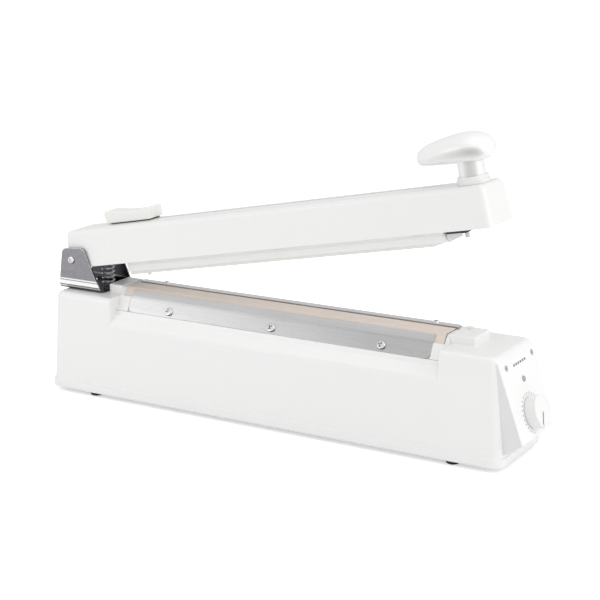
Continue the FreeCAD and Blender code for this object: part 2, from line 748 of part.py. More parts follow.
def make_return_spring():
    """Compression spring between the bracket's floor and the arm's heel plate."""
    angle = math.radians(ARM_OPEN_ANGLE)
    seat = CARRIER_FLANGE_TOP - HEEL_PLATE_THICKNESS
    x = PIVOT_X + SPRING_ARM_DISTANCE * math.cos(angle) - seat * math.sin(angle)
    outer = SPRING_MEAN_RADIUS + SPRING_WIRE / 2
    bottom = BASE_TOP + BRACKET_SHEET
    top = PIVOT_Z + SPRING_ARM_DISTANCE * math.sin(angle) + seat * math.cos(angle)
    top = top - outer * math.sin(angle) - CLOSED_GAP
    height = top - bottom - SPRING_WIRE
    helix = Part.makeHelix(height / SPRING_TURNS, height, SPRING_MEAN_RADIUS)
    corners = []
    for index in range(SPRING_WIRE_SIDES):
        turn = 2 * math.pi * index / SPRING_WIRE_SIDES
        reach = SPRING_WIRE / 2
        corners.append(Vector(SPRING_MEAN_RADIUS + reach * math.cos(turn), 0, reach * math.sin(turn)))
    section = Part.makePolygon(corners + corners[:1])
    coil = Part.Wire(helix.Edges).makePipeShell([section], True, True)
    coil.translate(Vector(x, 0, bottom + SPRING_WIRE / 2))
    return coil


# Arm, built closed and along x from the pin, then turned up to its open angle

def place_on_arm(shape):
    """Move a shape from the arm's own frame to its open place on the base."""
    placed = shape.copy()
    placed.rotate(Vector(0, 0, 0), Y_AXIS, -ARM_OPEN_ANGLE)
    placed.translate(Vector(PIVOT_X, 0, PIVOT_Z))
    return placed


def arm_section(z, inset):
    """Rounded rectangle of the drafted arm at a height, moved in by a wall."""
    rise = (z + ARM_BELOW_PIN) / (ARM_BELOW_PIN + ARM_ABOVE_PIN)
    x_range = (-ARM_HEEL + ARM_END_DRAFT * rise + inset, ARM_REACH - ARM_END_DRAFT * rise - inset)
    return (x_range, ARM_WIDTH / 2 - ARM_DRAFT * rise - inset, z, ARM_CORNER_RADIUS - inset)


def carrier_boss_stations():
    """Places along the arm of the bosses that hold the jaw carrier."""
    first = CARRIER_START + CARRIER_BOSS_FIRST
    return [first + CARRIER_BOSS_PITCH * index for index in range(CARRIER_BOSS_COUNT)]


def arm_bosses():
    """Screw bosses inside the arm as (s, y, lower end)."""
    bosses = [
        (s, side * ARM_BOSS_Y, CARRIER_FLANGE_TOP)
        for s in [HEEL_BOSS_S] + carrier_boss_stations()
        for side in (-1, 1)
    ]
    bosses += [(PUSHER_BOSS_S, side * PUSHER_BOSS_Y, PUSHER_PLATE_TOP) for side in (-1, 1)]
    return bosses


def make_arm_shell():
    """Drafted cover of the arm, open below, with the cutter's slot in its top."""
    outer = drafted_block(arm_section(-ARM_BELOW_PIN, 0.0), arm_section(ARM_ABOVE_PIN, 0.0))
    outer = outer.makeFillet(ARM_TOP_EDGE_RADIUS, edges_at(outer, ARM_ABOVE_PIN))
    inner = drafted_block(arm_section(-ARM_BELOW_PIN, ARM_WALL), arm_section(ARM_ROOF, ARM_WALL))
    shell = outer.cut(inner)
    for s, y, low in arm_bosses():
        shell = shell.fuse(cylinder((s, y, low), Z_AXIS, ARM_BOSS_RADIUS, ARM_ROOF - low + ARM_WALL / 2))
    slot = box(
        (ARM_SLOT_START, ARM_SLOT_START + ARM_SLOT_LENGTH),
        (GROOVE_Y - ARM_SLOT_WIDTH / 2, GROOVE_Y + ARM_SLOT_WIDTH / 2),
        (ARM_ROOF - ARM_WALL, ARM_ABOVE_PIN + ARM_WALL),
    )
    sleeve_hole = cylinder((0, -ARM_WIDTH, 0), Y_AXIS, SLEEVE_RADIUS + SEATED_FIT, 2 * ARM_WIDTH)
    bolt_hole = cylinder((HANDLE_S, 0, 0), Z_AXIS, HANDLE_BOLT_RADIUS + RUNNING_FIT, FAR)
    return shell.cut(slot).cut(sleeve_hole).cut(bolt_hole).removeSplitter()


def make_hinge_sleeve():
    """Sleeve across the arm that turns on the hinge pin."""
    half = BRACKET_WIDTH / 2 - BRACKET_SHEET - SIDE_PLAY
    sleeve = cylinder((0, -half, 0), Y_AXIS, SLEEVE_RADIUS, 2 * half)
    return sleeve.cut(cylinder((0, -half, 0), Y_AXIS, PIN_RADIUS + RUNNING_FIT, 2 * half))


def make_heel_plate():
    """Plate across the arm's hinge end, with the spring's spigot."""
    half = arm_section(CARRIER_FLANGE_TOP, ARM_WALL + SIDE_PLAY)[1]
    low = CARRIER_FLANGE_TOP - HEEL_PLATE_THICKNESS
    plate = box(
        (HEEL_PLATE_START, HEEL_PLATE_START + HEEL_PLATE_LENGTH),
        (-half, half),
        (low, CARRIER_FLANGE_TOP),
    )
    spigot = cylinder((SPRING_ARM_DISTANCE, 0, low), Z_AXIS * -1, SPRING_SPIGOT_RADIUS, SPRING_SPIGOT_HEIGHT)
    return plate.fuse(spigot).removeSplitter()


def make_jaw_carrier():
    """Hat-shaped channel under the arm that carries the silicone strip."""
    flange = arm_section(CARRIER_FLANGE_TOP, ARM_WALL + SIDE_PLAY)[1]
    flange_low = CARRIER_FLANGE_TOP - CARRIER_WALL
    web = CARRIER_WIDTH / 2
    inner = web - CARRIER_WALL
    points = [
        (-flange, flange_low), (-web, flange_low), (-web, CARRIER_BOTTOM), (web, CARRIER_BOTTOM),
        (web, flange_low), (flange, flange_low), (flange, CARRIER_FLANGE_TOP), (inner, CARRIER_FLANGE_TOP),
        (inner, CARRIER_FLOOR_TOP), (-inner, CARRIER_FLOOR_TOP), (-inner, CARRIER_FLANGE_TOP),
        (-flange, CARRIER_FLANGE_TOP),
    ]
    carrier = prism_along_x(points, (CARRIER_START, CARRIER_END))
    slot = box(
        (CARRIER_START, CARRIER_END - CARRIER_SLOT_END_BRIDGE),
        (GROOVE_Y - CARRIER_SLOT_WIDTH / 2, GROOVE_Y + CARRIER_SLOT_WIDTH / 2),
        (CARRIER_BOTTOM, CARRIER_FLOOR_TOP),
    )
    return carrier.cut(slot)


def make_silicone_strip():
    """Silicone pressure strip with a sloping outer end."""
    start = CARRIER_START + STRIP_INSET
    end = CARRIER_END - 2 * STRIP_INSET
    outline = [
        (start, CARRIER_BOTTOM), (start, STRIP_BOTTOM),
        (end - STRIP_END_SLOPE, STRIP_BOTTOM), (end, CARRIER_BOTTOM),
    ]
    return prism_along_y(outline, (SEAL_Y - STRIP_WIDTH / 2, SEAL_Y + STRIP_WIDTH / 2))


def pusher_tip():
    """Lower end of the pusher's peg, just clear of the button when closed."""
    return RIDGE_TOP + BUTTON_PROUD + CLOSED_GAP - PIVOT_Z


def make_pusher_plate():
    """Plate under the arm's free end that holds the switch peg."""
    low = PUSHER_PLATE_TOP - PUSHER_PLATE_THICKNESS
    start = CARRIER_END + STRIP_INSET
    plate = box(
        (start, start + PUSHER_PLATE_LENGTH),
        (-PUSHER_PLATE_WIDTH / 2, PUSHER_PLATE_WIDTH / 2),
        (low, PUSHER_PLATE_TOP),
    )
    collar = cylinder((PUSHER_S, PUSHER_Y, low), Z_AXIS * -1, PUSHER_COLLAR_RADIUS, PUSHER_COLLAR_HEIGHT)
    plate = plate.fuse(collar)
    depth = PUSHER_COLLAR_HEIGHT + PUSHER_PLATE_THICKNESS
    bore_top = (PUSHER_S, PUSHER_Y, PUSHER_PLATE_TOP)
    bore = cylinder(bore_top, Z_AXIS * -1, PUSHER_PEG_RADIUS + SEATED_FIT, depth)
    return plate.cut(bore).removeSplitter()


def make_switch_peg():
    """Peg that works the switch button as the arm closes."""
    height = PUSHER_PLATE_TOP - pusher_tip()
    return cylinder((PUSHER_S, PUSHER_Y, pusher_tip()), Z_AXIS, PUSHER_PEG_RADIUS, height)


# Handle

def knob_section(s, low, high, half_width):
    """Upright polygon on an ellipse across the knob."""
    middle = (low + high) / 2
    corners = []
    for index in range(KNOB_SIDES):
        turn = 2 * math.pi * (index + 0.5) / KNOB_SIDES
        rise = (high - low) / 2 * math.sin(turn)
        corners.append(Vector(s, half_width * math.cos(turn), middle + rise))
    return Part.makePolygon(corners + corners[:1])


def make_handle_knob():
    """Pear-shaped grip and its stem, with the narrow end towards the hinge."""
    low = ARM_ABOVE_PIN + KNOB_UNDERSIDE
    sections = []
    for place, under, over, wide in KNOB_FORM:
        s = HANDLE_S - KNOB_TIP_REACH + place * (KNOB_TIP_REACH + KNOB_BACK_REACH)
        bottom = low + under * KNOB_HEIGHT
        top = low + over * KNOB_HEIGHT
        sections.append(knob_section(s, bottom, top, wide * KNOB_HALF_WIDTH))
    knob = Part.makeLoft(sections, True, True)
    stem_low = ARM_ABOVE_PIN + COLLAR_HEIGHT
    stem = cylinder((HANDLE_S, 0, stem_low), Z_AXIS, STEM_RADIUS, low + KNOB_HEIGHT / 2 - stem_low)
    bore = cylinder((HANDLE_S, 0, stem_low), Z_AXIS, HANDLE_BOLT_RADIUS + SEATED_FIT, HANDLE_BOLT_GRIP)
    return knob.fuse(stem).cut(bore)


def make_handle_collar():
    """Stepped collar between the arm and the stem."""
    low = ARM_ABOVE_PIN
    lower = cylinder((HANDLE_S, 0, low), Z_AXIS, COLLAR_RADIUS, COLLAR_HEIGHT / 2)
    upper = cylinder((HANDLE_S, 0, low), Z_AXIS, COLLAR_RADIUS - COLLAR_STEP, COLLAR_HEIGHT)
    bore = cylinder((HANDLE_S, 0, low), Z_AXIS, HANDLE_BOLT_RADIUS + RUNNING_FIT, COLLAR_HEIGHT)
    return lower.fuse(upper).cut(bore)


def make_handle_bolt():
    """Bolt from inside the arm up into the handle's stem."""
    length = ARM_WALL + COLLAR_HEIGHT + HANDLE_BOLT_GRIP - SIDE_PLAY
    return headed_pin((HANDLE_S, 0, ARM_ROOF), Z_AXIS * -1, HANDLE_BOLT_HEAD_RADIUS,
                     HANDLE_BOLT_HEAD_HEIGHT, HANDLE_BOLT_RADIUS, length)


# Cutter

def make_cutter_slider():
    """Thumb slider with flared ends and a saddle between two humps."""
    low = ARM_ABOVE_PIN + SLIDER_LIFT
    left = CUTTER_S - SLIDER_LENGTH / 2
    right = CUTTER_S + SLIDER_LENGTH / 2
    left_top = low + SLIDER_HEIGHT - SLIDER_FRONT_RISE / 2
    right_top = low + SLIDER_HEIGHT + SLIDER_FRONT_RISE
    dip = low + SLIDER_HEIGHT - SLIDER_SADDLE_DEPTH
    corners = [
        Vector(left, 0, low),
        Vector(left - SLIDER_FLARE, 0, left_top - SLIDER_SADDLE_DEPTH / 2),
        Vector(left + SLIDER_HUMP_RUN, 0, left_top),
        Vector(CUTTER_S, 0, dip),
        Vector(right + SLIDER_FLARE / 2, 0, right_top),
        Vector(right + SLIDER_FLARE, 0, right_top - SLIDER_SADDLE_DEPTH),
        Vector(right, 0, low),
    ]
    saddle = Part.Arc(corners[2], corners[3], corners[4]).toShape()
    edges = [
        Part.makeLine(corners[0], corners[1]), Part.makeLine(corners[1], corners[2]), saddle,
        Part.makeLine(corners[4], corners[5]), Part.makeLine(corners[5], corners[6]),
        Part.makeLine(corners[6], corners[0]),
    ]
    slider = Part.Face(Part.Wire(edges)).extrude(Y_AXIS * SLIDER_WIDTH)
    slider.translate(Y_AXIS * (GROOVE_Y - SLIDER_WIDTH / 2))
    upper = [edge for edge in slider.Edges if edge.CenterOfMass.z > low + SLIDER_HEIGHT / 2]
    rims = [edge for edge in upper if abs(edge.tangentAt(edge.FirstParameter).y) < 0.5]
    return slider.makeFillet(SLIDER_EDGE_RADIUS, rims)


def blade_outline():
    """Blade profile along the arm, pointed so that it cuts both ways."""
    low = CARRIER_BOTTOM - (TONGUE_DEPTH - CARRIER_FLOOR)
    half = BLADE_LENGTH / 2
    tip = BLADE_TIP_WIDTH / 2
    return [
        (CUTTER_S - half, low + BLADE_GRIP), (CUTTER_S + half, low + BLADE_GRIP),
        (CUTTER_S + half, low), (CUTTER_S + tip, low - BLADE_REACH),
        (CUTTER_S - tip, low - BLADE_REACH), (CUTTER_S - half, low),
    ]


def make_cutter_blade():
    """Thin steel blade in the carriage's tongue."""
    half = BLADE_THICKNESS / 2
    return prism_along_y(blade_outline(), (GROOVE_Y - half, GROOVE_Y + half))


def make_cutter_carriage():
    """Carriage inside the arm: block, neck up to the slider, tongue down to the blade."""
    floor = CARRIER_FLOOR_TOP + CARRIAGE_PLAY
    half = CARRIAGE_LENGTH / 2
    block = box(
        (CUTTER_S - half, CUTTER_S + half),
        (GROOVE_Y - CARRIAGE_WIDTH / 2, GROOVE_Y + CARRIAGE_WIDTH / 2),
        (floor, floor + CARRIAGE_HEIGHT),
    )
    thin = (GROOVE_Y - NECK_WIDTH / 2, GROOVE_Y + NECK_WIDTH / 2)
    neck_span = (CUTTER_S - NECK_LENGTH / 2, CUTTER_S + NECK_LENGTH / 2)
    neck = box(neck_span, thin, (floor, ARM_ABOVE_PIN + SLIDER_LIFT))
    tongue_span = (CUTTER_S - TONGUE_LENGTH / 2, CUTTER_S + TONGUE_LENGTH / 2)
    low = CARRIER_BOTTOM - (TONGUE_DEPTH - CARRIER_FLOOR)
    tongue = box(tongue_span, thin, (low, floor))
    half_blade = BLADE_THICKNESS / 2
    pocket = prism_along_y(blade_outline(), (GROOVE_Y - half_blade, GROOVE_Y + half_blade))
    carriage = block.fuse(neck).fuse(tongue).cut(pocket)
    return carriage.removeSplitter()


# Control panel, timer dial and lamp

def panel_frame():
    """Top point, downward direction and outward normal of the sloping panel."""
    top = Vector(body_end_x(PANEL_TOP_Z), 0, PANEL_TOP_Z)
    tip = Vector(body_end_x(PANEL_ROOT_Z) + PANEL_OVERHANG, 0, PANEL_TIP_Z)
    down = (tip - top).normalize()
    normal = Vector(-down.z, 0, down.x)
    return top, tip, down, normal


def panel_point(distance, y, height):
    """Point at a distance down the panel, across it, and out from it."""
    top, _, down, normal = panel_frame()
    return top + down * distance + normal * height + Y_AXIS * y


def make_control_panel():
    """Hollow wedge on the housing's end, shaped to the housing behind it."""
    top, tip, down, normal = panel_frame()
    root = Vector(body_end_x(PANEL_ROOT_Z), 0, PANEL_ROOT_Z)
    half = PANEL_WIDTH / 2
    depth = X_AXIS * (BODY_CORNER_RADIUS + HOUSING_WALL)
    outline = [top, tip, root, root - depth, top - depth]
    wedge = prism_along_y([(point.x, point.z) for point in outline], (-half, half))
    sharp = [edge for edge in wedge.Edges if edge.CenterOfMass.x > body_end_x(PANEL_TIP_Z)]
    wedge = wedge.makeFillet(PANEL_EDGE_RADIUS, sharp)
    inner_top = top - normal * PANEL_WALL - down * PANEL_WALL
    inner_tip = tip - normal * PANEL_WALL - down * (2 * PANEL_WALL)
    rise = Z_AXIS * (2 * PANEL_WALL)
    hollow_points = [inner_top, inner_tip, root + rise, root + rise - 2 * depth, inner_top - 2 * depth]
    inner_half = half - PANEL_WALL
    hollow = prism_along_y([(point.x, point.z) for point in hollow_points], (-inner_half, inner_half))
    panel = wedge.cut(hollow).cut(body_form())
    depth = 2 * PANEL_WALL
    dial_point = panel_point(DIAL_DISTANCE, DIAL_Y, 0)
    lamp_point = panel_point(LAMP_DISTANCE, 0, 0)
    dial_hole = cylinder(dial_point, normal * -1, BUSHING_RADIUS + SEATED_FIT, depth)
    lamp_hole = cylinder(lamp_point, normal * -1, LAMP_RADIUS + SEATED_FIT, depth)
    return panel.cut(dial_hole).cut(lamp_hole)


def make_indicator_lamp():
    """Round lamp through the panel, with a flange behind it."""
    normal = panel_frame()[3]
    back = panel_point(LAMP_DISTANCE, 0, -PANEL_WALL)
    body = cylinder(back, normal, LAMP_RADIUS, PANEL_WALL + LAMP_PROUD)
    rim = [edge for edge in body.Edges if isinstance(edge.Curve, Part.Circle)]
    front = max(rim, key=lambda edge: edge.Curve.Center.x)
    body = body.makeChamfer(LAMP_PROUD / 2, [front])
    flange = cylinder(back, normal * -1, LAMP_FLANGE_RADIUS, LAMP_FLANGE_HEIGHT)
    tail = cylinder(back, normal * -1, LAMP_RADIUS, LAMP_DEPTH)
    return body.fuse(flange).fuse(tail).removeSplitter()


def make_timer_body():
    """Rotary timer control behind the panel, with its bushing."""
    normal = panel_frame()[3]
    back = panel_point(DIAL_DISTANCE, DIAL_Y, -PANEL_WALL)
    case = cylinder(back, normal * -1, TIMER_RADIUS, TIMER_DEPTH)
    bushing = cylinder(back, normal, BUSHING_RADIUS, PANEL_WALL)
    bore_start = panel_point(DIAL_DISTANCE, DIAL_Y, 0)
    depth = PANEL_WALL + SHAFT_IN_BODY + SIDE_PLAY
    bore = cylinder(bore_start, normal * -1, SHAFT_RADIUS + RUNNING_FIT, depth)
    return case.fuse(bushing).cut(bore)


def make_timer_shaft():
    """Shaft from the timer control into the dial."""
    normal = panel_frame()[3]
    start = panel_point(DIAL_DISTANCE, DIAL_Y, -PANEL_WALL - SHAFT_IN_BODY)
    length = PANEL_WALL + SHAFT_IN_BODY + DIAL_STANDOFF + SHAFT_IN_DIAL
    return cylinder(start, normal, SHAFT_RADIUS, length)


def make_timer_dial():
    """Round dial with a pointer groove across its face."""
    _, _, down, normal = panel_frame()
    back = panel_point(DIAL_DISTANCE, DIAL_Y, DIAL_STANDOFF)
    dial = cylinder(back, normal, DIAL_RADIUS, DIAL_HEIGHT - DIAL_STANDOFF)
    front = max(dial.Edges, key=lambda edge: edge.CenterOfMass.x)
    dial = dial.makeChamfer(DIAL_EDGE, [front])
    dial = dial.cut(cylinder(back, normal, SHAFT_RADIUS + SEATED_FIT, SHAFT_IN_DIAL + SIDE_PLAY))
    angle = math.radians(DIAL_REST_ANGLE)
    along = down * math.cos(angle) - Y_AXIS * math.sin(angle)
    across = normal.cross(along)
    face = panel_point(DIAL_DISTANCE, DIAL_Y, DIAL_HEIGHT)
    corner = face - across * (DIAL_MARK_WIDTH / 2)
    points = [
        corner, corner + along * DIAL_MARK_LENGTH,
        corner + along * DIAL_MARK_LENGTH + across * DIAL_MARK_WIDTH, corner + across * DIAL_MARK_WIDTH,
    ]
    mark = Part.Face(Part.makePolygon(points + points[:1])).extrude(normal * -DIAL_MARK_DEPTH)
    return dial.cut(mark)


# Inside the base

def make_transformer_core():
    """Laminated core with two windows."""
    x_range = (CORE_X - CORE_LENGTH / 2, CORE_X + CORE_LENGTH / 2)
    core = box(x_range, (-CORE_DEPTH / 2, CORE_DEPTH / 2), (PLATE_TOP, PLATE_TOP + CORE_HEIGHT))
    for side in (-1, 1):
        inner = CORE_X + side * CORE_CENTRE_LEG / 2
        outer = CORE_X + side * (CORE_LENGTH / 2 - CORE_LEG)
        window = box(
            (min(inner, outer), max(inner, outer)),
            (-CORE_DEPTH / 2, CORE_DEPTH / 2),
            (PLATE_TOP + CORE_LEG, PLATE_TOP + CORE_HEIGHT - CORE_LEG),
        )
        core = core.cut(window)
    return core


def make_transformer_coil():
    """Winding round the core's centre leg."""
    half = CORE_LENGTH / 2 - CORE_LEG - COIL_PLAY
    z_range = (PLATE_TOP + CORE_LEG, PLATE_TOP + CORE_HEIGHT - CORE_LEG)
    coil = box((CORE_X - half, CORE_X + half), (-COIL_DEPTH / 2, COIL_DEPTH / 2), z_range)
    corners = [edge for edge in coil.Edges if abs(edge.tangentAt(0).z) > 0.9]
    coil = coil.makeFillet(CORE_LEG / 3, corners)
    leg = box(
        (CORE_X - CORE_CENTRE_LEG / 2, CORE_X + CORE_CENTRE_LEG / 2),
        (-CORE_DEPTH / 2, CORE_DEPTH / 2),
        z_range,
    )
    return coil.cut(leg)


def make_transformer_strap():
    """Strap over the core, with a foot on the bottom plate at each side."""
    top = PLATE_TOP + CORE_HEIGHT
    half = CORE_LENGTH / 2
    y_range = (-STRAP_WIDTH / 2, STRAP_WIDTH / 2)
    reach = half + STRAP_SHEET
    strap = box((CORE_X - reach, CORE_X + reach), y_range, (PLATE_TOP, top + STRAP_SHEET))
    strap = strap.cut(box((CORE_X - half, CORE_X + half), y_range, (PLATE_TOP, top)))
    foot_reach = half + STRAP_SHEET + STRAP_FOOT
    feet = box((CORE_X - foot_reach, CORE_X + foot_reach), y_range, (PLATE_TOP, PLATE_TOP + STRAP_SHEET))
    feet = feet.cut(box((CORE_X - half, CORE_X + half), y_range, (PLATE_TOP, top)))
    return strap.fuse(feet).removeSplitter()


def board_corners():
    """Centres of the board's four stand-offs."""
    half_x = BOARD_LENGTH / 2 - STANDOFF_INSET
    half_y = BOARD_WIDTH / 2 - STANDOFF_INSET
    return [(BOARD_X + i * half_x, j * half_y) for i in (-1, 1) for j in (-1, 1)]


def make_board_standoffs():
    """Stand-offs between the bottom plate and the circuit board."""
    posts = []
    for x, y in board_corners():
        posts.append(cylinder((x, y, PLATE_TOP), Z_AXIS, STANDOFF_RADIUS, BOARD_LIFT))
    return group(posts)


def make_circuit_board():
    """Timer board with its relay and heat sink."""
    low = PLATE_TOP + BOARD_LIFT
    top = low + BOARD_THICKNESS
    half_x = BOARD_LENGTH / 2
    half_y = BOARD_WIDTH / 2
    board = box((BOARD_X - half_x, BOARD_X + half_x), (-half_y, half_y), (low, top))
    relay = Part.makeBox(*RELAY_SIZE, Vector(BOARD_X, -RELAY_SIZE[1] / 2, top))
    sink_x = BOARD_X - half_x + HEAT_SINK_SIZE[0]
    sink = Part.makeBox(*HEAT_SINK_SIZE, Vector(sink_x, -HEAT_SINK_SIZE[1] / 2, top))
    return board.fuse(relay).fuse(sink)


def make_switch_case():
    """Case of the small switch under the right block."""
    x = switch_centre()[0]
    top = switch_top()
    return box((x - SWITCH_WIDTH / 2, x + SWITCH_WIDTH / 2), switch_span(), (top - SWITCH_HEIGHT, top))


def make_switch_button():
    """Button that stands proud of the right block, with a flange inside it."""
    x, y = switch_centre()
    low = RIDGE_TOP + BUTTON_PROUD - BUTTON_LENGTH
    button = cylinder((x, y, low), Z_AXIS, BUTTON_RADIUS, BUTTON_LENGTH)
    roof = RIDGE_TOP - HOUSING_WALL - RUNNING_FIT
    flange = cylinder((x, y, roof), Z_AXIS * -1, BUTTON_FLANGE_RADIUS, BUTTON_FLANGE_HEIGHT)
    return button.fuse(flange).removeSplitter()


def make_cord_gland():
    """Bushing in the rear wall through which a lead can pass."""
    axis_point = (GLAND_X, 0, GLAND_Z)
    wall_y = body_half_width(GLAND_Z)
    inner_y = wall_y - GLAND_INNER_LENGTH
    length = GLAND_INNER_LENGTH + GLAND_FLANGE_THICKNESS
    barrel = cylinder((GLAND_X, inner_y, GLAND_Z), Y_AXIS, GLAND_RADIUS, length)
    flange = cylinder((GLAND_X, 0, GLAND_Z), Y_AXIS, GLAND_FLANGE_RADIUS, wall_y + GLAND_FLANGE_THICKNESS)
    flange = flange.cut(body_form())
    bore = cylinder(axis_point, Y_AXIS, GLAND_BORE_RADIUS, BASE_WIDTH)
    return barrel.fuse(flange).cut(bore).removeSplitter()


def footprint_middle():
    """Middle of the whole object along x, from the skirt's end to the dial's rim."""
    down = panel_frame()[2]
    side_rim = panel_point(DIAL_DISTANCE, DIAL_Y, DIAL_HEIGHT - DIAL_EDGE) + down * DIAL_RADIUS
    face_rim = panel_point(DIAL_DISTANCE, DIAL_Y, DIAL_HEIGHT) + down * (DIAL_RADIUS - DIAL_EDGE)
    return max(side_rim.x, face_rim.x) / 2


BASE_PIECES = {
    "base_housing": make_base_housing,
    "base_plate": make_base_plate,
    "rubber_feet": make_rubber_feet,
    "jaw_bar": make_jaw_bar,
    "insulation_strip": make_insulation_strip,
    "heating_ribbon": make_heating_ribbon,
    "ribbon_terminals": make_ribbon_terminals,
    "release_cloth": make_release_cloth,
    "clamp_plate": make_clamp_plate,
    "rear_guide": make_rear_guide,
    "hinge_bracket": make_hinge_bracket,
    "hinge_pin": make_hinge_pin,
    "return_spring": make_return_spring,
    "control_panel": make_control_panel,
    "indicator_lamp": make_indicator_lamp,
    "timer_body": make_timer_body,
    "timer_shaft": make_timer_shaft,
    "timer_dial": make_timer_dial,
    "transformer_core": make_transformer_core,
    "transformer_coil": make_transformer_coil,
    "transformer_strap": make_transformer_strap,
    "board_standoffs": make_board_standoffs,
    "circuit_board": make_circuit_board,
    "switch_case": make_switch_case,
    "switch_button": make_switch_button,
    "cord_gland": make_cord_gland,
}

ARM_PIECES = {
    "arm_shell": make_arm_shell,
    "hinge_sleeve": make_hinge_sleeve,
    "heel_plate": make_heel_plate,
    "jaw_carrier": make_jaw_carrier,
    "silicone_strip": make_silicone_strip,
    "pusher_plate": make_pusher_plate,
    "switch_peg": make_switch_peg,
    "handle_knob": make_handle_knob,
    "handle_collar": make_handle_collar,
    "handle_bolt": make_handle_bolt,
    "cutter_slider": make_cutter_slider,
    "cutter_carriage": make_cutter_carriage,
    "cutter_blade": make_cutter_blade,
}


def build():
    """Build every piece in its place and write one file for each."""
    os.makedirs("parts", exist_ok=True)
    middle = footprint_middle()
    pieces = {name: make() for name, make in BASE_PIECES.items()}
    pieces.update({name: place_on_arm(make()) for name, make in ARM_PIECES.items()})
    for name, shape in pieces.items():
        shape.translate(Vector(-middle, 0, 0))
        shape.exportStep("parts/" + name + ".step")
    dial = panel_point(DIAL_DISTANCE, DIAL_Y, 0)
    print("hinge pin", PIVOT_X - middle, PIVOT_Z)
    print("dial", dial.x - middle, dial.y, dial.z, "normal", panel_frame()[3])
    print("footprint middle", middle)


build()
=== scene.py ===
import logging
import math
from dataclasses import dataclass
from enum import Enum
from typing import Callable, Sequence

import bpy
from mathutils import Matrix, Vector


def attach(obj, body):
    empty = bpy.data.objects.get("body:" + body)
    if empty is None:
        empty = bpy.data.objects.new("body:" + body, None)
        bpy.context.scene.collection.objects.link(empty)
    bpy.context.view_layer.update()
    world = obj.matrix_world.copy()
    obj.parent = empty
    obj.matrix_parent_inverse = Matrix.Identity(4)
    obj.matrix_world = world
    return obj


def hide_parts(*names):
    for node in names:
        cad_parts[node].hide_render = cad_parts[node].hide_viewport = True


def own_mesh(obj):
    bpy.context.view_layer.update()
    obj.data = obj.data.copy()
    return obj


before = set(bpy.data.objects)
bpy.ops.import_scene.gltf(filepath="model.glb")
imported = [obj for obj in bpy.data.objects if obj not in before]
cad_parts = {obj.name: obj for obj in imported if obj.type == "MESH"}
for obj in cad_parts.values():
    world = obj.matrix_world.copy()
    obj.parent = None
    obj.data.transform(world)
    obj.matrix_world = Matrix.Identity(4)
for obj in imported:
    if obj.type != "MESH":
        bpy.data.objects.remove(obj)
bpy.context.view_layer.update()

LOG = logging.getLogger("sealer")

Pair = tuple[float, float]
Triple = tuple[float, float, float]
Colour = tuple[float, float, float]
Test = Callable[[Vector, Vector], bool]
Piece = bpy.types.Object

MILLIMETRE = 0.001
BIG = 600.0


class Body(Enum):
    """Moving bodies of the sealer."""

    BASE = "base"
    ARM = "arm"
    CUTTER = "cutter"
    DIAL = "dial"
    BUTTON = "button"


class Kind(Enum):
    """What a selection picks."""

    POINTS = "VERT"
    EDGES = "EDGE"
    FACES = "FACE"


class Axis(Enum):
    """Direction of a round bar, as the turn from upright."""

    X = (0.0, math.pi / 2, 0.0)
    Y = (math.pi / 2, 0.0, 0.0)
    Z = (0.0, 0.0, 0.0)


# Bench: modelling steps, in millimetres

def clear() -> None:
    """Leave edit mode and select nothing."""
    if bpy.context.object and bpy.context.object.mode != "OBJECT":
        bpy.ops.object.mode_set(mode="OBJECT")
    bpy.ops.object.select_all(action="DESELECT")


def pick(*pieces: Piece) -> None:
    """Select pieces, the first one active.

    Args:
        pieces: the pieces to select.
    """
    clear()
    for piece in pieces:
        piece.select_set(True)
    bpy.context.view_layer.objects.active = pieces[0]


def choose(piece: Piece, kind: Kind, test: Test) -> None:
    """Select the parts of a mesh that pass a test, and stay in edit mode.

    Args:
        piece: the mesh to work on.
        kind: points, edges or faces.
        test: takes the place, and the direction of an edge or the normal.
    """
    pick(piece)
    bpy.ops.object.mode_set(mode="EDIT")
    bpy.ops.mesh.select_mode(type=kind.value)
    bpy.ops.mesh.select_all(action="DESELECT")
    bpy.ops.object.mode_set(mode="OBJECT")
    mesh = piece.data
    if kind is Kind.FACES:
        for face in mesh.polygons:
            face.select = test(face.center, face.normal)
    elif kind is Kind.EDGES:
        for edge in mesh.edges:
            first, last = (mesh.vertices[index].co for index in edge.vertices)
            edge.select = test((first + last) / 2, (last - first).normalized())
    else:
        for point in mesh.vertices:
            point.select = test(point.co, point.normal)
    bpy.ops.object.mode_set(mode="EDIT")


def choose_all(piece: Piece) -> None:
    """Select a whole mesh and stay in edit mode.

    Args:
        piece: the mesh to work on.
    """
    pick(piece)
    bpy.ops.object.mode_set(mode="EDIT")
    bpy.ops.mesh.select_all(action="SELECT")


def bake(piece: Piece) -> Piece:
    """Put a piece's place, turn and size into its mesh.

    Args:
        piece: the piece to bake.

    Returns:
        The same piece.
    """
    pick(piece)
    bpy.ops.object.transform_apply(location=True, rotation=True, scale=True)
    return piece


def block(name: str, low: Triple, high: Triple) -> Piece:
    """Model a block between two corners.

    Args:
        name: the piece's name.
        low: lowest corner.
        high: highest corner.

    Returns:
        The block.
    """
    clear()
    middle = [(a + b) / 2 for a, b in zip(low, high)]
    bpy.ops.mesh.primitive_cube_add(size=1.0, location=middle)
    piece = bpy.context.object
    piece.name = name
    bpy.ops.object.mode_set(mode="EDIT")
    size = [b - a for a, b in zip(low, high)]
    bpy.ops.transform.resize(value=size, center_override=middle)
    bpy.ops.object.mode_set(mode="OBJECT")
    return bake(piece)


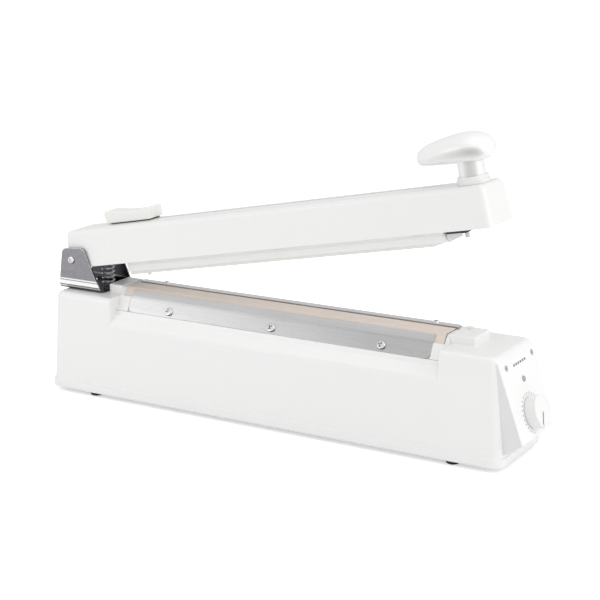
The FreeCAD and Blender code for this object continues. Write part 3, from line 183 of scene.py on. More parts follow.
def bar(name: str, middle: Triple, radius: float, length: float, axis: Axis, sides: int = 48) -> Piece:
    """Model a round bar about its middle.

    Args:
        name: the piece's name.
        middle: centre of the bar.
        radius: its radius.
        length: its length.
        axis: its direction.
        sides: number of sides.

    Returns:
        The bar.
    """
    clear()
    bpy.ops.mesh.primitive_cylinder_add(
        vertices=sides, radius=radius, depth=length, location=middle, rotation=axis.value
    )
    piece = bpy.context.object
    piece.name = name
    return bake(piece)


def drafted(name: str, low: "Slab", high: "Slab", radius: float, steps: int = 6) -> Piece:
    """Model a block with round corners that narrows towards its top.

    Args:
        name: the piece's name.
        low: the lower rectangle.
        high: the upper rectangle.
        radius: radius of the upright corners.
        steps: segments of each corner.

    Returns:
        The block.
    """
    piece = block(name, (low.start, -low.half, low.z), (low.end, low.half, high.z))
    round_edges(piece, lambda at, way: abs(way.z) > 0.9, radius, steps)
    choose(piece, Kind.FACES, lambda at, way: way.z > 0.9)
    narrow(low, high)
    clear()
    return piece


@dataclass(frozen=True)
class Slab:
    """Level rectangle of a drafted form."""

    start: float
    end: float
    half: float
    z: float

    def inset(self, wall: float) -> "Slab":
        """Move the rectangle in.

        Args:
            wall: how far.

        Returns:
            The smaller rectangle.
        """
        return Slab(self.start + wall, self.end - wall, self.half - wall, self.z)


def narrow(low: Slab, high: Slab) -> None:
    """Fit the selected face to a new rectangle at the same height.

    Args:
        low: the rectangle it has.
        high: the rectangle it gets.
    """
    middle = (low.start + low.end) / 2
    length = (high.end - high.start) / (low.end - low.start)
    bpy.ops.transform.resize(
        value=(length, high.half / low.half, 1.0), center_override=(middle, 0.0, high.z)
    )
    bpy.ops.transform.translate(value=((high.start + high.end) / 2 - middle, 0.0, 0.0))


def outline(name: str, points: Sequence[Triple], travel: Triple) -> Piece:
    """Model a prism from the corners of one face.

    Args:
        name: the piece's name.
        points: corners of the face, in order.
        travel: how far the face is extruded.

    Returns:
        The prism.
    """
    clear()
    bpy.ops.mesh.primitive_circle_add(vertices=len(points), radius=1.0, fill_type="NGON", location=(0, 0, 0))
    piece = bpy.context.object
    piece.name = name
    for index, point in enumerate(points):
        bpy.ops.object.mode_set(mode="EDIT")
        bpy.ops.mesh.select_mode(type="VERT")
        bpy.ops.mesh.select_all(action="DESELECT")
        bpy.ops.object.mode_set(mode="OBJECT")
        vertex = piece.data.vertices[index]
        vertex.select = True
        move = Vector(point) - vertex.co
        bpy.ops.object.mode_set(mode="EDIT")
        bpy.ops.transform.translate(value=move)
    bpy.ops.mesh.select_all(action="SELECT")
    bpy.ops.mesh.extrude_region_move(TRANSFORM_OT_translate={"value": travel})
    bpy.ops.mesh.select_all(action="SELECT")
    bpy.ops.mesh.normals_make_consistent(inside=False)
    bpy.ops.object.mode_set(mode="OBJECT")
    return piece


def prism_x(name: str, points: Sequence[Pair], span: Pair) -> Piece:
    """Model a prism along x.

    Args:
        name: the piece's name.
        points: corners as y, z.
        span: its two ends.

    Returns:
        The prism.
    """
    return outline(name, [(span[0], y, z) for y, z in points], (span[1] - span[0], 0.0, 0.0))


def prism_y(name: str, points: Sequence[Pair], span: Pair) -> Piece:
    """Model a prism along y.

    Args:
        name: the piece's name.
        points: corners as x, z.
        span: its two ends.

    Returns:
        The prism.
    """
    return outline(name, [(x, span[0], z) for x, z in points], (0.0, span[1] - span[0], 0.0))


def round_edges(piece: Piece, test: Test, radius: float, steps: int) -> None:
    """Bevel chosen edges.

    Args:
        piece: the mesh to work on.
        test: picks the edges.
        radius: size of the bevel.
        steps: segments of the bevel.
    """
    choose(piece, Kind.EDGES, test)
    bpy.ops.mesh.bevel(offset=radius, segments=steps, affect="EDGES", profile=0.5)
    clear()


def combine(piece: Piece, tool: Piece, operation: str) -> None:
    """Apply a Boolean and remove its tool.

    Args:
        piece: the piece that stays.
        tool: the piece that is used up.
        operation: the modifier's operation.
    """
    pick(piece)
    modifier = piece.modifiers.new("cut", "BOOLEAN")
    modifier.object = tool
    modifier.operation = operation
    modifier.solver = "MANIFOLD"
    bpy.ops.object.modifier_apply(modifier=modifier.name)
    bpy.data.objects.remove(tool, do_unlink=True)


def carve(piece: Piece, *tools: Piece) -> None:
    """Cut tools out of a piece.

    Args:
        piece: the piece to cut.
        tools: the forms taken away.
    """
    for tool in tools:
        combine(piece, tool, "DIFFERENCE")


def weld(piece: Piece, *others: Piece) -> None:
    """Join others to a piece as one solid.

    Args:
        piece: the piece that stays.
        others: the forms added.
    """
    for other in others:
        combine(piece, other, "UNION")


def soften(piece: Piece, width: float, steps: int = 3, angle: float = 35.0, clamp: bool = False) -> None:
    """Round every edge that is sharper than an angle.

    Args:
        piece: the piece to soften.
        width: width of the rounding.
        steps: its segments.
        angle: least angle in degrees.
        clamp: whether neighbours limit the width.
    """
    pick(piece)
    modifier = piece.modifiers.new("rounding", "BEVEL")
    modifier.width = width
    modifier.segments = steps
    modifier.limit_method = "ANGLE"
    modifier.angle_limit = math.radians(angle)
    modifier.use_clamp_overlap = clamp
    modifier.miter_outer = "MITER_ARC"
    bpy.ops.object.modifier_apply(modifier=modifier.name)


def smooth(piece: Piece, angle: float = 32.0) -> None:
    """Shade a piece smooth up to an angle.

    Args:
        piece: the piece to shade.
        angle: greatest smooth angle in degrees.
    """
    pick(piece)
    bpy.ops.object.shade_smooth_by_angle(angle=math.radians(angle))
    modifier = piece.modifiers.new("flat_faces", "WEIGHTED_NORMAL")
    modifier.keep_sharp = True
    bpy.ops.object.modifier_apply(modifier=modifier.name)


def copy_of(piece: Piece, name: str) -> Piece:
    """Copy a piece with its own mesh.

    Args:
        piece: the piece to copy.
        name: the copy's name.

    Returns:
        The copy.
    """
    pick(piece)
    bpy.ops.object.duplicate(linked=False)
    twin = bpy.context.object
    twin.name = name
    return twin


def join(piece: Piece, *others: Piece) -> None:
    """Join separate shells into one piece.

    Args:
        piece: the piece that stays.
        others: the pieces added to it.
    """
    pick(piece, *others)
    bpy.ops.object.join()


@dataclass(frozen=True)
class Seat:
    """Where a sub-assembly's own millimetre axes lie in the row frame.

    Attributes:
        origin: its origin in millimetres.
        tilt: its turn about y in degrees.
    """

    origin: Triple
    tilt: float

    def settle(self, piece: Piece) -> None:
        """Put a finished piece in its place, in metres.

        Args:
            piece: the piece to place.
        """
        piece.scale = (MILLIMETRE,) * 3
        piece.rotation_euler = (0.0, math.radians(self.tilt), 0.0)
        piece.location = [value * MILLIMETRE for value in self.origin]
        bake(piece)


FOOTPRINT_MIDDLE = 229.5046
PIVOT_X = 17.1
PIVOT_Z = 117.0
ARM_ANGLE = 11.0
PANEL_TILT = 70.778
AT_BASE = Seat((-FOOTPRINT_MIDDLE, 0.0, 0.0), 0.0)
AT_ARM = Seat((PIVOT_X - FOOTPRINT_MIDDLE, 0.0, PIVOT_Z), -ARM_ANGLE)
AT_PANEL = Seat((430.142 - FOOTPRINT_MIDDLE, 0.0, 85.2), PANEL_TILT)


# Node trees

class Wiring:
    """Adds nodes to one tree and joins them."""

    def __init__(self, tree: bpy.types.NodeTree) -> None:
        """Start on a tree.

        Args:
            tree: where the nodes go.
        """
        self.tree = tree
        self.column = 0

    def add(self, kind: str, sockets: dict | None = None, **settings) -> bpy.types.Node:
        """Add a node.

        Args:
            kind: the node's type.
            sockets: values or other nodes' sockets by input name or number.
            settings: the node's own options.

        Returns:
            The node.
        """
        node = self.tree.nodes.new(kind)
        node.location = (self.column * 190 - 1200, -(self.column % 3) * 160)
        self.column += 1
        for key, value in settings.items():
            setattr(node, key, value)
        for key, value in (sockets or {}).items():
            if isinstance(value, bpy.types.NodeSocket):
                self.tree.links.new(value, node.inputs[key])
            else:
                node.inputs[key].default_value = value
        return node

    def math(self, operation: str, first, second=0.0, third=0.0) -> bpy.types.NodeSocket:
        """Add a Math node.

        Args:
            operation: what it works out.
            first: first value or socket.
            second: second value or socket.
            third: third value or socket.

        Returns:
            Its value.
        """
        node = self.add("ShaderNodeMath", {0: first, 1: second, 2: third}, operation=operation)
        return node.outputs[0]

    def mix(self, factor, first, second) -> bpy.types.NodeSocket:
        """Mix two colours.

        Args:
            factor: share of the second.
            first: first colour or socket.
            second: second colour or socket.

        Returns:
            The mixed colour.
        """
        node = self.add("ShaderNodeMix", {0: factor, 6: first, 7: second}, data_type="RGBA")
        return node.outputs[2]

    def spread(self, value, low: float, high: float, to_low: float, to_high: float) -> bpy.types.NodeSocket:
        """Map one range of values to another.

        Args:
            value: the socket to map.
            low: start of its range.
            high: end of its range.
            to_low: result at the start.
            to_high: result at the end.

        Returns:
            The mapped value.
        """
        sockets = {"Value": value, "From Min": low, "From Max": high, "To Min": to_low, "To Max": to_high}
        return self.add("ShaderNodeMapRange", sockets).outputs["Result"]

    def noise(self, where, scale: float, detail: float = 3.0) -> bpy.types.NodeSocket:
        """Add a noise.

        Args:
            where: socket of the place.
            scale: features for each metre, or its socket.
            detail: layers of finer noise.

        Returns:
            Its value from 0 to 1.
        """
        sockets = {"Vector": where, "Scale": scale, "Detail": detail}
        return self.add("ShaderNodeTexNoise", sockets).outputs["Fac"]


@dataclass(frozen=True)
class Port:
    """One named input or output of a shared node group."""

    name: str
    kind: str
    default: float | Triple | tuple[float, float, float, float] | None = None
    leaves: bool = False


FLOAT = "NodeSocketFloat"
VECTOR = "NodeSocketVector"
COLOUR = "NodeSocketColor"


def shared_group(name: str, ports: Sequence[Port]) -> tuple[Wiring, bpy.types.Node, bpy.types.Node]:
    """Start a shared node group.

    Args:
        name: the group's name.
        ports: its inputs and outputs.

    Returns:
        The wiring of the group, its input node and its output node.
    """
    tree = bpy.data.node_groups.new(name, "ShaderNodeTree")
    for port in ports:
        way = "OUTPUT" if port.leaves else "INPUT"
        socket = tree.interface.new_socket(name=port.name, in_out=way, socket_type=port.kind)
        if port.default is not None:
            socket.default_value = port.default
    wiring = Wiring(tree)
    entry = wiring.add("NodeGroupInput")
    leave = wiring.add("NodeGroupOutput")
    leave.location = (1800, 0)
    return wiring, entry, leave


def send(wiring: Wiring, leave: bpy.types.Node, **values: bpy.types.NodeSocket) -> None:
    """Join values to a group's outputs.

    Args:
        wiring: the group's wiring.
        leave: the group's output node.
        values: sockets by output name.
    """
    for name, value in values.items():
        wiring.tree.links.new(value, leave.inputs[name])


def moulding_group() -> bpy.types.NodeTree:
    """Make the group for moulded surfaces: fine grain, long ripples, handling.

    Returns:
        The group.
    """
    wiring, entry, leave = shared_group("moulded_surface", [
        Port("Vector", VECTOR), Port("Colour", COLOUR, (0.8, 0.8, 0.8, 1.0)), Port("Grain", FLOAT, 1500.0),
        Port("Variation", FLOAT, 0.04), Port("Colour", COLOUR, leaves=True),
        Port("Height", FLOAT, leaves=True), Port("Handling", FLOAT, leaves=True),
    ])
    where = entry.outputs["Vector"]
    grain = wiring.noise(where, entry.outputs["Grain"], 2.0)
    ripple = wiring.noise(where, 55.0, 1.0)
    handling = wiring.noise(where, 22.0, 4.0)
    height = wiring.math("MULTIPLY_ADD", ripple, 0.6, wiring.math("MULTIPLY", grain, 0.4))
    shade = wiring.math("MULTIPLY", handling, entry.outputs["Variation"])
    darker = wiring.mix(shade, entry.outputs["Colour"], (0.42, 0.40, 0.37, 1.0))
    send(wiring, leave, Colour=darker, Height=height, Handling=handling)
    return wiring.tree


def brushing_group() -> bpy.types.NodeTree:
    """Make the group for brushed metal: long scratches along one direction.

    Returns:
        The group.
    """
    wiring, entry, leave = shared_group("brushed_metal", [
        Port("Vector", VECTOR), Port("Stretch", VECTOR, (8.0, 900.0, 900.0)),
        Port("Streaks", FLOAT, leaves=True), Port("Height", FLOAT, leaves=True), Port("Cloud", FLOAT, leaves=True),
    ])
    mapped = wiring.add("ShaderNodeVectorMath", {0: entry.outputs["Vector"], 1: entry.outputs["Stretch"]},
                        operation="MULTIPLY").outputs[0]
    long_scratches = wiring.noise(mapped, 1.0, 4.0)
    short_scratches = wiring.noise(mapped, 3.1, 2.0)
    both = wiring.math("MULTIPLY_ADD", short_scratches, 0.4, wiring.math("MULTIPLY", long_scratches, 0.6))
    cloud = wiring.noise(entry.outputs["Vector"], 30.0, 3.0)
    streaks = wiring.spread(both, 0.35, 0.65, 0.0, 1.0)
    send(wiring, leave, Streaks=streaks, Height=both, Cloud=cloud)
    return wiring.tree


def worn_and_highlighted_edges_group() -> bpy.types.NodeTree:
    """Make the group that finds edges: a mask that is broken up by noise, for worn edges and painted edge highlights.

    Returns:
        The group.
    """
    wiring, entry, leave = shared_group("worn_and_highlighted_edges", [
        Port("Vector", VECTOR), Port("Radius", FLOAT, 0.0006), Port("Amount", FLOAT, 1.0),
        Port("Mask", FLOAT, leaves=True),
    ])
    soft = wiring.add("ShaderNodeBevel", {"Radius": entry.outputs["Radius"]}, samples=4)
    flat = wiring.add("ShaderNodeNewGeometry")
    facing = wiring.add("ShaderNodeVectorMath", {0: soft.outputs[0], 1: flat.outputs["Normal"]},
                        operation="DOT_PRODUCT").outputs["Value"]
    edge = wiring.spread(facing, 0.995, 0.86, 0.0, 1.0)
    broken = wiring.spread(wiring.noise(entry.outputs["Vector"], 420.0, 4.0), 0.38, 0.62, 0.25, 1.0)
    mask = wiring.math("MULTIPLY", wiring.math("MULTIPLY", edge, broken), entry.outputs["Amount"])
    send(wiring, leave, Mask=mask)
    return wiring.tree


def weave_group() -> bpy.types.NodeTree:
    """Make the group for a plain weave: threads over and under.

    Returns:
        The group.
    """
    wiring, entry, leave = shared_group("plain_weave", [
        Port("Vector", VECTOR), Port("Pitch", FLOAT, 0.0009),
        Port("Height", FLOAT, leaves=True), Port("Gaps", FLOAT, leaves=True),
    ])
    parts = wiring.add("ShaderNodeSeparateXYZ", {0: entry.outputs["Vector"]})
    turn = wiring.math("DIVIDE", math.pi, entry.outputs["Pitch"])
    across = wiring.math("ADD", parts.outputs["Y"], parts.outputs["Z"])
    warp = wiring.math("SINE", wiring.math("MULTIPLY", parts.outputs["X"], turn))
    weft = wiring.math("SINE", wiring.math("MULTIPLY", across, turn))
    cross = wiring.math("MULTIPLY", warp, weft)
    threads = wiring.math("MAXIMUM", wiring.math("ABSOLUTE", warp), wiring.math("ABSOLUTE", weft))
    height = wiring.math("MULTIPLY_ADD", cross, 0.35, wiring.math("MULTIPLY", threads, 0.65))
    gaps = wiring.spread(threads, 0.25, 0.6, 1.0, 0.0)
    send(wiring, leave, Height=height, Gaps=gaps)
    return wiring.tree


def layers_group() -> bpy.types.NodeTree:
    """Make the group for layers: thin lines across one direction.

    Returns:
        The group.
    """
    wiring, entry, leave = shared_group("thin_layers", [
        Port("Vector", VECTOR), Port("Direction", VECTOR, (0.0, 1.0, 0.0)), Port("Pitch", FLOAT, 0.0007),
        Port("Lines", FLOAT, leaves=True), Port("Height", FLOAT, leaves=True),
    ])
    along = wiring.add("ShaderNodeVectorMath", {0: entry.outputs["Vector"], 1: entry.outputs["Direction"]},
                       operation="DOT_PRODUCT").outputs["Value"]
    wobble = wiring.math("MULTIPLY", wiring.noise(entry.outputs["Vector"], 180.0, 2.0), 0.0002)
    place = wiring.math("ADD", along, wobble)
    wave = wiring.math("SINE", wiring.math("MULTIPLY", place, wiring.math("DIVIDE", 2 * math.pi, entry.outputs["Pitch"])))
    lines = wiring.spread(wave, -1.0, -0.6, 1.0, 0.0)
    send(wiring, leave, Lines=lines, Height=wave)
    return wiring.tree


GROUPS = {
    "moulded": moulding_group(),
    "brushed": brushing_group(),
    "wear": worn_and_highlighted_edges_group(),
    "weave": weave_group(),
    "layers": layers_group(),
}


@dataclass(frozen=True)
class Finish:
    """Finish that every surface of one kind shares.

    Attributes:
        colour: base colour, linear.
        roughness: mean roughness.
    """

    colour: Colour
    roughness: float

    def make(self, name: str) -> bpy.types.Material:
        """Make the material.

        Args:
            name: its name.

        Returns:
            The material.
        """
        material = bpy.data.materials.new(name)
        material.use_nodes = True
        material.node_tree.nodes.clear()
        wiring = Wiring(material.node_tree)
        where = wiring.add("ShaderNodeTexCoord").outputs["Object"]
        shader = wiring.add("ShaderNodeBsdfPrincipled", {"Roughness": self.roughness})
        shader.location = (1500, 0)
        leave = wiring.add("ShaderNodeOutputMaterial", {"Surface": shader.outputs[0]})
        leave.location = (1850, 0)
        self.dress(wiring, shader, where)
        return material

    def dress(self, wiring: Wiring, shader: bpy.types.Node, where: bpy.types.NodeSocket) -> None:
        """Join the finish's nodes to the shader.

        Args:
            wiring: the material's wiring.
            shader: its Principled BSDF.
            where: place on the object, in metres.
        """

    def tint(self) -> tuple[float, float, float, float]:
        """Return the base colour with its alpha."""
        return (*self.colour, 1.0)

    def group(self, wiring: Wiring, name: str, sockets: dict) -> bpy.types.Node:
        """Add a shared group to the material.

        Args:
            wiring: the material's wiring.
            name: the group's short name.
            sockets: its inputs.

        Returns:
            The group's node.
        """
        node = wiring.add("ShaderNodeGroup", node_tree=GROUPS[name])
        for key, value in sockets.items():
            if isinstance(value, bpy.types.NodeSocket):
                wiring.tree.links.new(value, node.inputs[key])
            else:
                node.inputs[key].default_value = value
        return node

    def relief(self, wiring: Wiring, shader: bpy.types.Node, height: bpy.types.NodeSocket, depth: float) -> None:
        """Raise the surface by a height.

        Args:
            wiring: the material's wiring.
            shader: its Principled BSDF.
            height: the height from 0 to 1.
            depth: its depth in metres.
        """
        bump = wiring.add("ShaderNodeBump", {"Height": height, "Strength": 1.0, "Distance": depth})
        wiring.tree.links.new(bump.outputs[0], shader.inputs["Normal"])


@dataclass(frozen=True)
class MouldedPlastic(Finish):
    """Injection-moulded plastic with a fine grain and rubbed edges.

    Attributes:
        grain: grains for each metre.
        depth: depth of the grain in metres.
        variation: strength of the colour's variation.
        coat: gloss of the skin.
        worn: colour of rubbed edges.
    """

    grain: float = 1500.0
    depth: float = 0.000012
    variation: float = 0.035
    coat: float = 0.0
    worn: Colour = (0.93, 0.93, 0.92)

    def dress(self, wiring: Wiring, shader: bpy.types.Node, where: bpy.types.NodeSocket) -> None:
        """Join the grain, handling and edges to the shader.

        Args:
            wiring: the material's wiring.
            shader: its Principled BSDF.
            where: place on the object, in metres.
        """
        skin = self.group(wiring, "moulded", {
            "Vector": where, "Colour": self.tint(), "Grain": self.grain, "Variation": self.variation,
        })
        wear = self.group(wiring, "wear", {"Vector": where, "Radius": 0.0005, "Amount": 0.35})
        colour = wiring.mix(wear.outputs["Mask"], skin.outputs["Colour"], (*self.worn, 1.0))
        rough = wiring.spread(skin.outputs["Handling"], 0.3, 0.7, self.roughness * 0.85, self.roughness * 1.2)
        wiring.tree.links.new(self.paint_light_and_shade(wiring, colour), shader.inputs["Base Color"])
        wiring.tree.links.new(rough, shader.inputs["Roughness"])
        shader.inputs["Coat Weight"].default_value = self.coat
        shader.inputs["Coat Roughness"].default_value = 0.12
        self.relief(wiring, shader, skin.outputs["Height"], self.depth)

    def paint_light_and_shade(self, wiring: Wiring, colour: bpy.types.NodeSocket) -> bpy.types.NodeSocket:
        """Paint light and shade by the way the surface faces; plain plastic keeps its colour.

        Args:
            wiring: the material's wiring.
            colour: the plastic's colour.

        Returns:
            The changed colour.
        """
        return colour


@dataclass(frozen=True)
class ShadedPlastic(MouldedPlastic):
    """Glossy plastic with a painted colour where it faces one way: painted shade, and painted light where that colour
    is lighter.

    Attributes:
        way: direction that the painted side faces.
        reach: how squarely it faces that way where the painted colour starts and is full.
        shade: painted shade of that side, which paints light where it is lighter than the plastic.
    """

    way: Triple = (0.0, -1.0, 0.0)
    reach: Pair = (0.8, 0.97)
    shade: Colour = (0.62, 0.62, 0.62)

    def paint_light_and_shade(self, wiring: Wiring, colour: bpy.types.NodeSocket) -> bpy.types.NodeSocket:
        """Paint the shade colour on the side that faces the way.

        Args:
            wiring: the material's wiring.
            colour: the plastic's colour.

        Returns:
            The changed colour.
        """
        # Painted shade on the side that faces the way; a lighter shade colour paints light there instead.
        normal = wiring.add("ShaderNodeNewGeometry").outputs["Normal"]
        facing = wiring.add("ShaderNodeVectorMath", {0: normal, 1: self.way}, operation="DOT_PRODUCT").outputs["Value"]
        return wiring.mix(wiring.spread(facing, *self.reach, 0.0, 1.0), colour, (*self.shade, 1.0))


@dataclass(frozen=True)
class BrushedMetal(Finish):
    """Metal brushed along one direction, with worn edges in a lighter colour that also paints their highlights.

    Attributes:
        stretch: scratches for each metre along x, y and z.
        depth: depth of the scratches in metres.
        contrast: how much the scratches change the roughness.
        edge_wear_and_highlight: colour of the worn edges, which also paints their highlights.
        rim: width of the worn, highlighted edges in metres.
    """

    stretch: Triple = (8.0, 900.0, 900.0)
    depth: float = 0.000006
    contrast: float = 0.35
    edge_wear_and_highlight: Colour = (0.95, 0.95, 0.95)
    rim: float = 0.0004

    def dress(self, wiring: Wiring, shader: bpy.types.Node, where: bpy.types.NodeSocket) -> None:
        """Join the scratches and edges to the shader.

        Args:
            wiring: the material's wiring.
            shader: its Principled BSDF.
            where: place on the object, in metres.
        """
        brushed = self.group(wiring, "brushed", {"Vector": where, "Stretch": self.stretch})
        wear = self.group(wiring, "wear", {"Vector": where, "Radius": self.rim, "Amount": 0.8})
        dull = tuple(value * 0.82 for value in self.colour)
        tone = wiring.mix(brushed.outputs["Streaks"], (*dull, 1.0), self.tint())
        # The worn edges are mixed in lighter, which also paints their highlights.
        colour = self.paint_light_and_shade(wiring, where, wiring.mix(wear.outputs["Mask"], tone, (*self.edge_wear_and_highlight, 1.0)))
        rough = wiring.spread(brushed.outputs["Streaks"], 0.0, 1.0, self.roughness * (1 + self.contrast),
                              self.roughness * (1 - self.contrast))
        clouded = wiring.math("MULTIPLY", rough, wiring.spread(brushed.outputs["Cloud"], 0.3, 0.7, 0.9, 1.15))
        wiring.tree.links.new(colour, shader.inputs["Base Color"])
        wiring.tree.links.new(clouded, shader.inputs["Roughness"])
        shader.inputs["Metallic"].default_value = 1.0
        self.relief(wiring, shader, brushed.outputs["Height"], self.depth)

    def paint_light_and_shade(self, wiring: Wiring, where: bpy.types.NodeSocket,
             colour: bpy.types.NodeSocket) -> bpy.types.NodeSocket:
        """Paint light and shade into the colour from place to place; plain metal keeps it.

        Args:
            wiring: the material's wiring.
            where: place on the object, in metres.
            colour: the metal's colour.

        Returns:
            The changed colour.
        """
        return colour


@dataclass(frozen=True)
class PlatedSheet(BrushedMetal):
    """Bent plated sheet with painted shade inside, and a painted reflection band with painted shadow lines on its lower
    bend.

    Attributes:
        inner: half the distance between its sides in metres.
        bend: lowest and highest place of the painted reflection band in metres.
        shade: painted shade of the inside.
    """

    inner: float = 0.0226
    bend: Pair = (0.090, 0.1004)
    shade: Colour = (0.07, 0.07, 0.075)

    def paint_light_and_shade(self, wiring: Wiring, where: bpy.types.NodeSocket,
             colour: bpy.types.NodeSocket) -> bpy.types.NodeSocket:
        """Paint shade on the inside, and a reflection band with shadow lines on the lower bend.

        Args:
            wiring: the material's wiring.
            where: place on the object, in metres.
            colour: the metal's colour.

        Returns:
            The changed colour.
        """
        parts = wiring.add("ShaderNodeSeparateXYZ", {0: where})
        low, high = self.bend
        # Painted reflection band with painted shadow lines across the lower bend, by height.
        painted_reflection_ramp = wiring.add("ShaderNodeValToRGB", {0: wiring.spread(parts.outputs["Z"], low, high, 0.0, 1.0)})
        stops = ((0.0, 0.86), (0.34, 0.86), (0.38, 0.10), (0.42, 0.10), (0.47, 0.97), (0.76, 0.95), (0.80, 0.30),
                 (0.84, 0.34), (0.88, 0.92), (1.0, 0.80))
        for index, (place, grey) in enumerate(stops):
            stop = painted_reflection_ramp.color_ramp.elements[index] if index < 2 else painted_reflection_ramp.color_ramp.elements.new(place)
            stop.position = place
            stop.color = (grey, grey, grey, 1.0)
        # Here streaks masks the painted reflection band, below the top of the bend.
        streaks = wiring.spread(parts.outputs["Z"], high, high - 0.0003, 0.0, 1.0)
        across = wiring.math("ABSOLUTE", parts.outputs["Y"])
        # Painted shade on the inside faces.
        inside = wiring.spread(across, self.inner - 0.0006, self.inner, 1.0, 0.0)
        with_painted_reflection = wiring.mix(streaks, colour, painted_reflection_ramp.outputs["Color"])
        return wiring.mix(inside, with_painted_reflection, (*self.shade, 1.0))


@dataclass(frozen=True)
class TurnedSteel(BrushedMetal):
    """Bright steel of screws and pins, with painted shade where it faces down.

    Attributes:
        below: painted shade on the faces that look down.
    """

    below: Colour = (0.13, 0.13, 0.13)

    def paint_light_and_shade(self, wiring: Wiring, where: bpy.types.NodeSocket,
             colour: bpy.types.NodeSocket) -> bpy.types.NodeSocket:
        """Paint shade on what faces down.

        Args:
            wiring: the material's wiring.
            where: place on the object, in metres.
            colour: the metal's colour.

        Returns:
            The changed colour.
        """
        # Painted shade on faces that look down.
        normal = wiring.add("ShaderNodeNewGeometry").outputs["Normal"]
        height = wiring.add("ShaderNodeSeparateXYZ", {0: normal}).outputs["Z"]
        return wiring.mix(wiring.spread(height, -0.02, -0.35, 0.0, 1.0), colour, (*self.below, 1.0))


@dataclass(frozen=True)
class PaintedReflectionStrip(BrushedMetal):
    """Bent strip with painted reflections: its steeper face lighter towards one end.

    Attributes:
        span: where the change starts and ends along x, in metres.
        polished: colour of the painted reflection.
    """

    span: Pair = (-0.16, 0.085)
    polished: Colour = (0.76, 0.76, 0.76)

    def paint_light_and_shade(self, wiring: Wiring, where: bpy.types.NodeSocket,
             colour: bpy.types.NodeSocket) -> bpy.types.NodeSocket:
        """Paint a reflection on the steeper face towards the start of the span, and on the other face a little towards
        its end.

        Args:
            wiring: the material's wiring.
            where: place on the object, in metres.
            colour: the metal's colour.

        Returns:
            The changed colour.
        """
        # Painted reflections on both faces of the strip.
        along = wiring.add("ShaderNodeSeparateXYZ", {0: where}).outputs["X"]
        normal = wiring.add("ShaderNodeNewGeometry").outputs["Normal"]
        lean = wiring.add("ShaderNodeSeparateXYZ", {0: normal}).outputs["Z"]
        steep = wiring.spread(lean, 0.54, 0.59, 1.0, 0.0)
        lower = wiring.math("MULTIPLY", wiring.spread(along, *self.span, 1.0, 0.0), steep)
        upper = wiring.math("MULTIPLY", wiring.spread(along, *self.span, 0.1, 0.75),
                            wiring.math("SUBTRACT", 1.0, steep))
        return wiring.mix(wiring.math("ADD", lower, upper), colour, (*self.polished, 1.0))


@dataclass(frozen=True)
class CoatedCloth(Finish):
    """Glass cloth under a smooth non-stick coat.

    Attributes:
        pitch: distance between threads in metres.
    """

    pitch: float = 0.0007

    def dress(self, wiring: Wiring, shader: bpy.types.Node, where: bpy.types.NodeSocket) -> None:
        """Join the weave and its stains to the shader.

        Args:
            wiring: the material's wiring.
            shader: its Principled BSDF.
            where: place on the object, in metres.
        """
        weave = self.group(wiring, "weave", {"Vector": where, "Pitch": self.pitch})
        stains = wiring.spread(wiring.noise(where, 14.0, 5.0), 0.45, 0.75, 0.0, 0.35)
        threads = wiring.mix(wiring.math("MULTIPLY", weave.outputs["Gaps"], 0.3), self.tint(),
                             (*(value * 0.75 for value in self.colour), 1.0))
        colour = wiring.mix(stains, threads, (0.62, 0.52, 0.44, 1.0))
        wiring.tree.links.new(colour, shader.inputs["Base Color"])
        shader.inputs["Coat Weight"].default_value = 0.3
        shader.inputs["Coat Roughness"].default_value = 0.3
        self.relief(wiring, shader, weave.outputs["Height"], 0.00003)


@dataclass(frozen=True)
class SoftRubber(Finish):
    """Rubber or silicone with a dull, slightly dusty skin.

    Attributes:
        dust: colour that gathers on the skin.
        sheen: strength of the soft rim light.
    """

    dust: Colour = (0.3, 0.3, 0.3)
    sheen: float = 0.1

    def dress(self, wiring: Wiring, shader: bpy.types.Node, where: bpy.types.NodeSocket) -> None:
        """Join the skin and dust to the shader.

        Args:
            wiring: the material's wiring.
            shader: its Principled BSDF.
            where: place on the object, in metres.
        """
        skin = self.group(wiring, "moulded", {
            "Vector": where, "Colour": self.tint(), "Grain": 2600.0, "Variation": 0.05,
        })
        dusty = wiring.spread(wiring.noise(where, 600.0, 4.0), 0.55, 0.8, 0.0, 0.25)
        colour = wiring.mix(dusty, skin.outputs["Colour"], (*self.dust, 1.0))
        wiring.tree.links.new(colour, shader.inputs["Base Color"])
        shader.inputs["Sheen Weight"].default_value = self.sheen
        self.relief(wiring, shader, skin.outputs["Height"], 0.00002)


@dataclass(frozen=True)
class PrintedInk(Finish):
    """Screen-printed ink with an uneven film."""

    def dress(self, wiring: Wiring, shader: bpy.types.Node, where: bpy.types.NodeSocket) -> None:
        """Join the uneven film to the shader.

        Args:
            wiring: the material's wiring.
            shader: its Principled BSDF.
            where: place on the object, in metres.
        """
        film = wiring.noise(where, 2400.0, 3.0)
        thin = tuple(min(1.0, value * 1.5 + 0.03) for value in self.colour)
        colour = wiring.mix(wiring.spread(film, 0.35, 0.7, 0.0, 0.6), self.tint(), (*thin, 1.0))
        wiring.tree.links.new(colour, shader.inputs["Base Color"])
        self.relief(wiring, shader, film, 0.000008)


